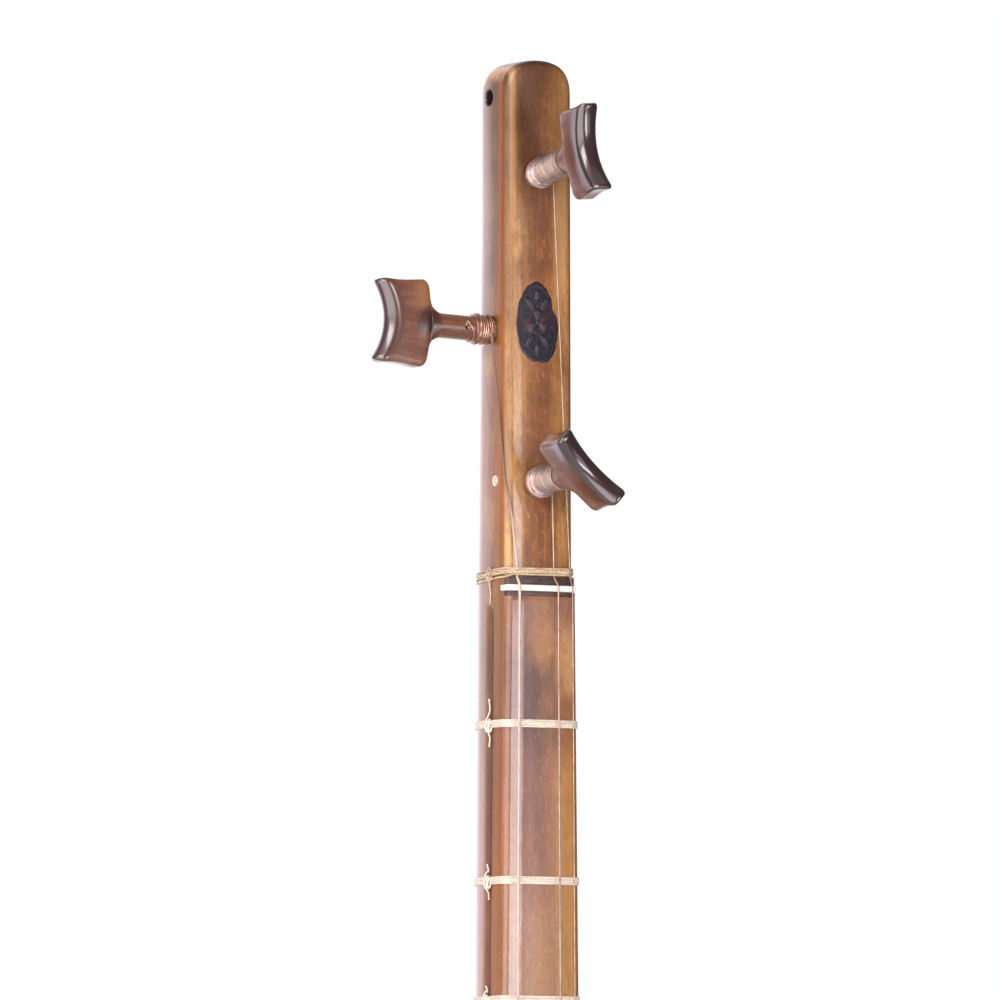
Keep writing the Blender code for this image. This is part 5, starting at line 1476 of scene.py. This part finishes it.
def oval_piece():
    """Egg-shaped burnt field, narrower at the top, with a rosette and leaves in low relief."""
    cx, cz, rx, rz = -0.54, -58.2, 6.05, 10.6
    rows, cols = 70, 220
    points, marks = [], []

    def surface(x):
        return -HEAD_FRONT + x * x / (2 * CROWN_R)

    def outline(a):
        up = math.cos(a)
        egg = 1.0 - (0.17 if up > 0 else 0.05) * up
        ripple = 0.012 * math.sin(5 * a + 0.4) + 0.010 * math.sin(11 * a + 1.0) + 0.006 * math.sin(23 * a)
        bite = 0.16 * math.exp(-(((a - 1.22) / 0.15) ** 2)) - 0.02 * math.exp(-(((a - 0.9) / 0.14) ** 2))
        ex = rx * 1.02 * egg * (1 + ripple - bite) * math.copysign(abs(math.sin(a)) ** (0.92 if up > 0 else 0.80), math.sin(a))
        ez = rz * (1 + ripple) * up
        return ex - 0.055 * ez, ez + 0.02 * ex

    def bump_at(x, z, rho):
        """0 low, 1 high."""
        high = math.exp(-(((rho - 0.90) / 0.03) ** 2)) * 0.15
        u, v = x / rx, z / rz
        r = math.hypot(x, z)
        th = math.atan2(x, z)
        petals = max(0.0, math.cos(3 * th)) ** 0.7
        high = max(high, math.exp(-(((r - 1.9) / 1.25) ** 4)) * (0.25 + 0.75 * petals) * (1 if r > 0.7 else 0.3))
        high = max(high, math.exp(-((r / 0.55) ** 4)))
        for s in (-1, 1):
            for m in (-1, 1):
                lx, lz = x - m * 2.15, z - s * 4.75
                ca, sa = math.cos(0.62 * m * s), math.sin(0.62 * m * s)
                p, q = lx * ca - lz * sa, lx * sa + lz * ca
                leaf = 1 - (abs(p) / 0.72) ** 1.6 - (abs(q) / 2.0) ** 2.0
                vein = 1 - 0.6 * math.exp(-((p / 0.12) ** 2))
                if leaf > 0:
                    high = max(high, min(1.0, leaf * 1.8) * vein)
            bud = 1 - (abs(x) / 0.75) ** 2 - (abs(z - s * 6.9) / 1.5) ** 2
            if bud > 0:
                high = max(high, min(1.0, bud * 1.6))
        return high

    for i in range(rows + 1):
        rho = i / rows
        for j in range(cols):
            a = 2 * math.pi * j / cols
            ox, oz = outline(a)
            x, z = ox * rho, oz * rho
            high = bump_at(x, z, rho)
            edge = 1 - smooth((rho - 0.955) / 0.045)
            y = surface(cx + x) - (0.06 + 0.20 * high) * edge + 0.05 * (1 - edge)
            points.append((cx + x, y, cz + z))
            marks.append((high, rho, 0.0))
    faces = []
    for i in range(rows):
        for j in range(cols):
            k = (j + 1) % cols
            faces.append((i * cols + j, i * cols + k, (i + 1) * cols + k, (i + 1) * cols + j))
    base = len(points)
    for j in range(cols):
        x, y, z = points[rows * cols + j]
        points.append((x, y + 0.35, z))
        marks.append((0.0, 1.0, 0.0))
    for j in range(cols):
        k = (j + 1) % cols
        faces.append((rows * cols + j, rows * cols + k, base + k, base + j))
    faces.append(tuple(base + j for j in range(cols)))
    # the first row is one point
    made_points = [points[0]] + points[cols:]
    marks = [marks[0]] + marks[cols:]

    def at(index):
        return 0 if index < cols else index - cols + 1

    clean = []
    for face in faces:
        f = []
        for index in face:
            m = at(index)
            if m not in f:
                f.append(m)
        if len(f) > 2:
            clean.append(f)
    made = mesh_piece("burnt_oval_relief", made_points, clean, burnt_oval(), 60)
    layer = made.data.attributes.new("relief", "FLOAT_VECTOR", "POINT")
    layer.data.foreach_set("vector", np.array(marks, np.float32).ravel())
    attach(made, "root")
    return made


oval_piece()


# ======================================================================== bowl
S_TAIL = 0.12


def rib_edge(s, k):
    low = edge_angle(s)
    if k == 0:
        return low
    if k == RIBS:
        return math.pi - low
    return math.pi * k / RIBS


RIB_TONES = (
    (srgb(176, 112, 62), srgb(140, 84, 46), srgb(92, 52, 30)),
    (srgb(160, 98, 54), srgb(124, 72, 40), srgb(80, 44, 26)),
    (srgb(184, 122, 70), srgb(150, 94, 52), srgb(98, 58, 34)),
)
for k in range(RIBS):
    rows, pieces, seam = 56, 10, 0.03
    outer_rings, points, faces, marks = [], [], [], []
    length, previous = 0.0, None
    for row in range(rows + 1):
        f = row / rows
        s = S_HEEL + (S_TAIL - S_HEEL) * f
        half, _, deep = bowl(s)
        start, end = rib_edge(s, k), rib_edge(s, k + 1)
        if k > 0:
            start += seam / max(1.0, math.hypot(half * math.sin(start), deep * math.cos(start)))
        if k < RIBS - 1:
            end -= seam / max(1.0, math.hypot(half * math.sin(end), deep * math.cos(end)))
        angles = [start + (end - start) * i / pieces for i in range(pieces + 1)]
        outer = [bowl_point(s, a) for a in angles]
        inner = [bowl_inside(s, a, RIB_THICK) for a in angles]
        if row == 0:
            outer = [np.array((p[0], p[1], min(p[2], HEEL_Z) - 0.04)) for p in outer]
            inner = [np.array((p[0], p[1], min(p[2], HEEL_Z) - 0.04)) for p in inner]
        middle = outer[pieces // 2]
        if previous is not None:
            length += float(np.linalg.norm(middle - previous))
        previous = middle
        width = float(sum(np.linalg.norm(b - a) for a, b in zip(outer, outer[1:])))
        run = 0.0
        across = [0.0]
        for a, b in zip(outer, outer[1:]):
            run += float(np.linalg.norm(b - a))
            across.append(run)
        for value, p in zip(across, outer):
            points.append(tuple(p))
            edge = min(value, width - value)
            marks.append((value - width / 2, length, edge))
        for value, p in zip(reversed(across), reversed(inner)):
            points.append(tuple(p))
            marks.append((value - width / 2, length, 5.0))
    count = 2 * (pieces + 1)
    for i in range(rows):
        for j in range(count):
            m = (j + 1) % count
            faces.append((i * count + j, i * count + m, (i + 1) * count + m, (i + 1) * count + j))
    faces.append(tuple(range(count)))
    faces.append(tuple(rows * count + j for j in range(count)))
    rib = mesh_piece(f"rib_{k + 1}_shell", points, faces, rib_wood(f"rib_wood_{k + 1}", *RIB_TONES[(k * 2 + k // 4) % 3], float(k)), 30)
    layer = rib.data.attributes.new("grain", "FLOAT_VECTOR", "POINT")
    layer.data.foreach_set("vector", np.array(marks, np.float32).ravel())
    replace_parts(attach(rib, "root"), f"rib_{k + 1}")

# ---- tail cap: shell over the rib ends
last = S_TAIL - 0.4 / 80.0 + 0.0035
lo, hi = 1e-3, last
for _ in range(60):
    first_s = (lo + hi) / 2
    _, straight, deep = bowl(first_s)
    if straight + deep < EDGE:
        lo = first_s
    else:
        hi = first_s
rows, columns = 26, 60
points, faces, marks, grids = [], [], [], []
for inset in (0.0, RIB_THICK):
    grid = []
    for i in range(rows + 1):
        s = first_s + (last - first_s) * i / rows
        if i == 0:
            p = bowl_inside(s + 0.002, math.pi / 2, inset)
            points.append((0.0, -FRONT + EDGE, p[2]))
            marks.append((0.0, 0.0, 5.0))
            grid.append([len(points) - 1] * (columns + 1))
            continue
        low = edge_angle(s)
        row = []
        for j in range(columns + 1):
            p = bowl_inside(s, low + (math.pi - 2 * low) * j / columns, inset)
            points.append((p[0], max(p[1], -FRONT + EDGE), p[2]))
            marks.append((float(p[0]), float(p[1]), 0.1 if i == rows else 5.0))
            row.append(len(points) - 1)
        grid.append(row)
    grids.append(grid)
for grid in grids:
    for i in range(rows):
        for j in range(columns):
            a, b, c, d = grid[i][j], grid[i][j + 1], grid[i + 1][j + 1], grid[i + 1][j]
            faces.append((a, c, d) if a == b else (a, b, c, d))
outer, inner = grids
for i in range(rows):
    for j in (0, columns):
        quad = (outer[i][j], outer[i + 1][j], inner[i + 1][j], inner[i][j])
        faces.append(quad)
for j in range(columns):
    faces.append((outer[-1][j], outer[-1][j + 1], inner[-1][j + 1], inner[-1][j]))
cap = mesh_piece("tail_cap_shell", points, faces, rib_wood("tail_cap_wood", srgb(120, 70, 42), srgb(92, 50, 30), srgb(52, 28, 20), 12.0), 30)
layer = cap.data.attributes.new("grain", "FLOAT_VECTOR", "POINT")
layer.data.foreach_set("vector", np.array(marks, np.float32).ravel())
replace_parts(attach(cap, "root"), "tail_cap")

# ---- soundboard: plate with a rounded front edge and burnt holes
side_count = 150
right = []
for i in range(side_count + 1):
    s = S_HEEL * (1 - i / side_count)
    if i == side_count:
        right.append((0.0, TAIL_Z))
    else:
        right.append((bowl(s)[0], TAIL_Z + BOWL_LONG * s * s - (0.05 if i == 0 else 0)))
outline = right + [(-x, z) for x, z in reversed(right[:-1])]
pts = np.array(outline)
tangent = np.roll(pts, -1, 0) - np.roll(pts, 1, 0)
tangent /= np.linalg.norm(tangent, axis=1)[:, None]
inward = np.stack([tangent[:, 1], -tangent[:, 0]], 1)
centre = np.array((0.0, JOIN_Z - 200))
flip = np.sign(np.sum(inward * (centre - pts), axis=1))
inward *= flip[:, None]
inward[0] = inward[0] * 0 + np.array((-0.6, -0.2))
inward[len(right) * 2 - 2] = np.array((0.6, -0.2))
rings = [[(x, -FRONT + BOARD_SOUND + 0.12, z) for x, z in pts]]
for i in range(7):
    a = math.pi / 2 * i / 6
    r = 0.8
    moved = pts + inward * (r * (1 - math.cos(a)))
    rings.append([(x, -FRONT + r - r * math.sin(a), z) for x, z in moved])
soundboard = loft("soundboard_plate", rings, soundboard_wood(), smooth_angle=40)
holes_points, holes_faces = [], []
for hx, hz in HOLES:
    p, f = rings_mesh(turned_rings([(1.9, -1.0), (1.5, 0.25), (1.5, 6.0)], axis_matrix((hx, -FRONT - 0.2, hz), (0, 1, 0), (1, 0, 0)), 28), False, True, len(holes_points))
    holes_points += p
    holes_faces += f
cut(soundboard, [mesh_piece("tmp_holes", holes_points, holes_faces, None, 0)])
shade(soundboard, 40)
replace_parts(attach(soundboard, "root"), "soundboard")


# ---- bridge
def dark_rosewood():
    g = Graph("dark_rosewood")
    p = g.mm()
    broad, fibre, pores = streaks(g, p, "x", 1.3, 9.0)
    color = g.ramp(broad, [(0.3, srgb(44, 24, 20)), (0.5, srgb(82, 46, 34)), (0.7, srgb(112, 66, 44))])
    color = g.mix(g.math("MULTIPLY", g.span(fibre, 0.44, 0.66), 0.4), color, srgb(30, 16, 14))
    lacquered(g, color, g.math("ADD", fibre, pores), 0.36, 0.8, 0.12)
    return g.mat


ROSEWOOD = dark_rosewood()


def bridge_piece():
    foot, arch = 30.0, 19.0
    lower = [(-foot, 0.0), (-24.0, 0.0), (-arch - 1.0, 0.0), (-arch + 0.5, 1.0), (-arch + 3.0, 1.9), (-8.0, 2.5), (0.0, 2.6), (8.0, 2.5), (arch - 3.0, 1.9), (arch - 0.5, 1.0), (arch + 1.0, 0.0), (24.0, 0.0), (foot, 0.0)]
    upper = [(-foot, 0.9), (-foot + 1.4, 1.5), (-25.5, 2.4), (-22.0, 4.1), (-19.0, 5.5), (-16.5, 6.15), (0.0, 6.3), (16.5, 6.15), (19.0, 5.5), (22.0, 4.1), (25.5, 2.4), (foot - 1.4, 1.5), (foot, 0.9)]
    lx, lz = zip(*lower)
    ux, uz = zip(*upper)
    rings = []
    xs = np.unique(np.concatenate([np.linspace(-foot, foot, 121), [foot - 0.1, foot - 0.3, -foot + 0.1, -foot + 0.3]]))
    for x in xs:
        low, high = float(np.interp(x, lx, lz)), float(np.interp(x, ux, uz))
        end = min(1.0, (foot - abs(x)) / 0.8)
        squeeze = math.sqrt(max(0.05, 1 - (1 - end) ** 2))
        thick_low = 2.2 * squeeze
        ring = []
        r = min(0.45, (high - low) * 0.3)

        def width(h):
            return thick_low * (1 - 0.42 * smooth(h / BRIDGE_HIGH))

        for sgn in (1, -1):
            part = []
            part.append((width(low) - 0.15, low))
            part.append((width(low + 0.2), low + 0.18))
            for i in range(1, 5):
                h = low + 0.2 + (high - r - low - 0.2) * i / 4
                part.append((width(h), h))
            w = width(high - r)
            for i in range(1, 6):
                a = math.pi / 2 * i / 5
                part.append((w - r + r * math.cos(a), high - r + r * math.sin(a)))
            if sgn < 0:
                part = [(-a, b) for a, b in reversed(part)]
            ring += part
        rings.append([(x, -FRONT - 0.08 - h, BRIDGE_Z + w) for w, h in ring])
    made = loft("bridge_bar", rings, ROSEWOOD, smooth_angle=40)
    tools = []
    for key, (_, x) in STRING_X.items():
        r = STRING_R[key]
        tools.append(rod("tmp_notch", r + 0.12, -6, 6, axis_matrix((x, -(FRONT + 0.2 + BRIDGE_HIGH + 0.2 + r), BRIDGE_Z), (0, 0, 1), (1, 0, 0)), 16))
    cut(made, tools)
    shade(made, 40)
    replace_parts(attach(made, "root"), "bridge")


bridge_piece()


# ---- tail: saddle, holder, pins
def soft_box(name, low, high, r, mat, segments=4):
    made = block(name, low, high, mat)
    change = made.modifiers.new("soft", "BEVEL")
    change.width = r * MM
    change.segments = segments
    change.limit_method = "ANGLE"
    baked(made)
    shade(made, 40)
    return made


saddle = soft_box("tail_saddle_bone", (-20, -SADDLE_TOP - 0.1, TAIL_Z + 1.6), (20, -FRONT - 0.05, TAIL_Z + 4.6), 0.8, BONE_MAT)
tools = []
for key, (x_nut, x_bridge) in STRING_X.items():
    x_tail = x_bridge + (x_bridge - x_nut) * (BRIDGE_Z - TAIL_Z - 3) / SCALE * 0.3
    r = STRING_R[key]
    tools.append(rod("tmp_notch", r + 0.14, -6, 6, axis_matrix((x_tail, -(SADDLE_TOP + 0.16 + r), TAIL_Z + 3), (0, 0, 1), (1, 0, 0)), 16))
cut(saddle, tools)
shade(saddle, 40)
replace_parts(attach(saddle, "root"), "tail_saddle")

holder = soft_box("string_holder_bar", (-19, 3.0, HOLDER_Z - 4.2), (19, 11.0, HOLDER_Z), 1.1, ROSEWOOD)
tools = [rod("tmp_pin", 0.93, -5.2, 4, axis_matrix((x, PIN_Y, HOLDER_Z - 4.2), (0, 0, -1), (1, 0, 0)), 24) for x in PINS_X.values()]
for x in (-16.2, 16.2):
    tools.append(loft("tmp_screw", turned_rings([(0.0001, -0.7), (0.9, -0.5), (1.2, 0.0), (1.3, 0.6)], axis_matrix((x, PIN_Y, HOLDER_Z - 4.2), (0, 0, -1), (1, 0, 0)), 24), None))
cut(holder, tools)
shade(holder, 40)
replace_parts(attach(holder, "root"), "string_holder")
for name, x in PINS_X.items():
    profile = [(0.85, -3.4), (0.9, -3.2), (0.9, 0.9), (0.95, 1.15), (1.15, 1.3), (1.33, 1.5), (1.38, 1.75), (1.33, 2.0), (1.15, 2.25), (0.8, 2.4), (0.3, 2.46)]
    pin = loft(f"hitch_pin_{name}_turned", turned_rings(profile, axis_matrix((x, PIN_Y, HOLDER_Z - 4.2), (0, 0, -1), (1, 0, 0)), 32), BRASS_MAT, smooth_angle=40)
    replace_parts(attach(pin, "root"), f"hitch_pin_{name}")

for node in ("neck_block", "tail_block"):
    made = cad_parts[node]
    made.data.materials.clear()
    made.data.materials.append(BLOCK_MAT)

# ======================================================================== studio
LIGHT_LEVEL = 1.0


def world_light():
    world = bpy.data.worlds.new("studio")
    bpy.context.scene.world = world
    world.use_nodes = True
    tree = world.node_tree
    tree.nodes.clear()

    def node(kind, inputs=None, **props):
        made = tree.nodes.new(kind)
        for key, value in props.items():
            setattr(made, key, value)
        for key, value in (inputs or {}).items():
            if isinstance(value, bpy.types.NodeSocket):
                tree.links.new(value, made.inputs[key])
            else:
                made.inputs[key].default_value = value
        return made

    way = node("ShaderNodeTexCoord").outputs["Generated"]
    parts = node("ShaderNodeSeparateXYZ", {0: way}).outputs
    back = node("ShaderNodeMath", {0: parts[1], 1: -1.0}, operation="MULTIPLY").outputs[0]
    turn = node("ShaderNodeMath", {0: parts[0], 1: back}, operation="ARCTAN2").outputs[0]
    share = node("ShaderNodeMapRange", {"Value": turn, "From Min": -math.pi, "From Max": math.pi}).outputs["Result"]
    ramp_node = node("ShaderNodeValToRGB", {"Fac": share})
    ramp = ramp_node.color_ramp
    ramp.interpolation = "LINEAR"
    white, lilac = (1.0, 1.0, 1.0), (0.92, 0.88, 1.0)
    stops = [
        (-180, lilac, 1.9), (-150, lilac, 1.9), (-145, lilac, 1.1), (-140, white, 0.28), (-118, white, 0.25), (-100, white, 0.4), (-92, white, 0.6),
        (-84, (1.0, 0.94, 0.92), 3.2), (-17, (1.0, 0.94, 0.92), 3.2), (-13, white, 0.12), (1, white, 0.12), (40, white, 0.12), (60, white, 0.10), (138, white, 0.12), (146, white, 1.0), (180, lilac, 1.9),
    ]
    while len(ramp.elements) > 1:
        ramp.elements.remove(ramp.elements[-1])
    for i, (degrees, tint, level) in enumerate(stops):
        position = (degrees + 180) / 360
        color = (tint[0] * level / 4, tint[1] * level / 4, tint[2] * level / 4, 1.0)
        if i == 0:
            ramp.elements[0].position, ramp.elements[0].color = position, color
        else:
            ramp.elements.new(position).color = color
    left = node("ShaderNodeMapRange", {"Value": turn, "From Min": math.radians(-106), "From Max": math.radians(-92)}).outputs["Result"]
    left = node("ShaderNodeMath", {0: left, 1: node("ShaderNodeMapRange", {"Value": turn, "From Min": math.radians(4), "From Max": math.radians(-4)}).outputs["Result"]}, operation="MULTIPLY").outputs[0]
    high = node("ShaderNodeMapRange", {"Value": parts[2], "From Min": 0.063, "From Max": 0.110, "To Max": 0.72}).outputs["Result"]
    rear = node("ShaderNodeMapRange", {"Value": turn, "From Min": math.radians(-92), "From Max": math.radians(-106), "To Max": 0.42}).outputs["Result"]
    left = node("ShaderNodeMath", {0: left, 1: rear}, operation="ADD").outputs[0]
    dim = node("ShaderNodeMath", {0: left, 1: high}, operation="MULTIPLY").outputs[0]
    low_left = node("ShaderNodeMix", {0: dim, 6: ramp_node.outputs["Color"], 7: (0.0, 0.0, 0.0, 1.0)}, data_type="RGBA").outputs[2]
    overhead = node("ShaderNodeMapRange", {"Value": parts[2], "From Min": 0.72, "From Max": 0.9}, interpolation_type="SMOOTHSTEP").outputs["Result"]
    top = node("ShaderNodeMix", data_type="RGBA")
    for key, value in ((0, overhead), (6, low_left), (7, (0.10, 0.10, 0.10, 1.0))):
        if isinstance(value, bpy.types.NodeSocket):
            tree.links.new(value, top.inputs[key])
        else:
            top.inputs[key].default_value = value
    studio = node("ShaderNodeBackground", {"Color": top.outputs[2], "Strength": 4.0 * LIGHT_LEVEL})
    plain = node("ShaderNodeBackground", {"Color": (1, 1, 1, 1), "Strength": 1.0})
    seen = node("ShaderNodeLightPath").outputs["Is Camera Ray"]
    both = node("ShaderNodeMixShader", {0: seen, 1: studio.outputs[0], 2: plain.outputs[0]})
    node("ShaderNodeOutputWorld", {"Surface": both.outputs[0]})


world_light()


def softbox(name, azimuth, distance, wide, low, high, radiance, tint=(1, 1, 1), fade_top=0.0, fade_side=0.08):
    """Upright light panel facing the stem; invisible to the camera, soft at its edges."""
    a = math.radians(azimuth)
    place = Vector((math.sin(a), -math.cos(a), 0)) * distance
    across = Vector((math.cos(a), math.sin(a), 0))
    mesh = bpy.data.meshes.new(name)
    corners = []
    for u, z in ((-0.5, low), (0.5, low), (0.5, high), (-0.5, high)):
        corners.append(tuple(place + across * (u * wide) + Vector((0, 0, z))))
    mesh.from_pydata(corners, [], [(0, 1, 2, 3)])
    layer = mesh.uv_layers.new(name="panel")
    for i, uv in enumerate(((0, 0), (1, 0), (1, 1), (0, 1))):
        layer.data[i].uv = uv
    mat = bpy.data.materials.new(name)
    mat.use_nodes = True
    tree = mat.node_tree
    tree.nodes.clear()
    g = Graph.__new__(Graph)
    g.mat, g.tree, g._mm = mat, tree, None
    uv = g.node("ShaderNodeUVMap", uv_map="panel").outputs[0]
    u, v, _ = g.parts(uv)
    soft = g.math("MULTIPLY", g.span(u, 0.0, fade_side), g.span(u, 1.0, 1.0 - fade_side))
    if fade_top:
        soft = g.math("MULTIPLY", soft, g.span(v, 1.0, 1.0 - fade_top))
    glow = g.node("ShaderNodeEmission", {"Color": (*tint, 1.0), "Strength": g.math("MULTIPLY", soft, radiance * LIGHT_LEVEL)})
    none = g.node("ShaderNodeBsdfTransparent")
    facing = g.node("ShaderNodeNewGeometry").outputs["Backfacing"]
    both = g.node("ShaderNodeMixShader", {0: facing, 1: glow.outputs[0], 2: none.outputs[0]})
    g.node("ShaderNodeOutputMaterial", {"Surface": both.outputs[0]})
    mesh.materials.append(mat)
    made = bpy.data.objects.new(name, mesh)
    COLLECTION.objects.link(made)
    made.visible_camera = False
    made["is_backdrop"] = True
    # the lit side faces the stem
    bpy.context.view_layer.update()
    if mesh.polygons[0].normal.dot(Vector((-place.x, -place.y, 0))) < 0:
        mesh.flip_normals()
    return made


softbox("panel_front", 12.0, 2.4, 0.52, -1.3, 0.18, 10.0, (1.0, 0.97, 1.0), 0.16, 0.12)
softbox("panel_right", 31.0, 2.4, 0.98, -1.0, 0.06, 1.4, (1.0, 0.93, 1.0), 0.12)
softbox("panel_high_left", -46.0, 2.6, 2.4, 0.60, 2.0, 8.2, (1.0, 0.96, 0.97), 0.2, 0.1)

bm = bmesh.new()
bmesh.ops.create_circle(bm, cap_ends=True, segments=96, radius=1.3)
mesh = bpy.data.meshes.new("floor")
bm.to_mesh(mesh)
bm.free()
floor = bpy.data.objects.new("floor", mesh)
COLLECTION.objects.link(floor)
floor.location = (0, 0, -1.0)
g = Graph("floor_paper")
tone = g.noise(g.mm(), (0.004, 0.004, 0.004), 3.0, 0.5)
g.set(Base_Color=g.ramp(tone, [(0.3, srgb(238, 238, 240)), (0.7, srgb(246, 246, 246))]), Roughness=0.9)
mesh.materials.append(g.mat)
floor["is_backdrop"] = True

VISUAL_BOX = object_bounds()


def plain(value):
    """Numbers as plain nested lists."""
    if isinstance(value, dict):
        return {k: plain(v) for k, v in value.items()}
    if isinstance(value, (int, float)):
        return float(value)
    return [plain(v) for v in value]


{"cad": plain(CAD_BOX), "visual": plain(VISUAL_BOX)}
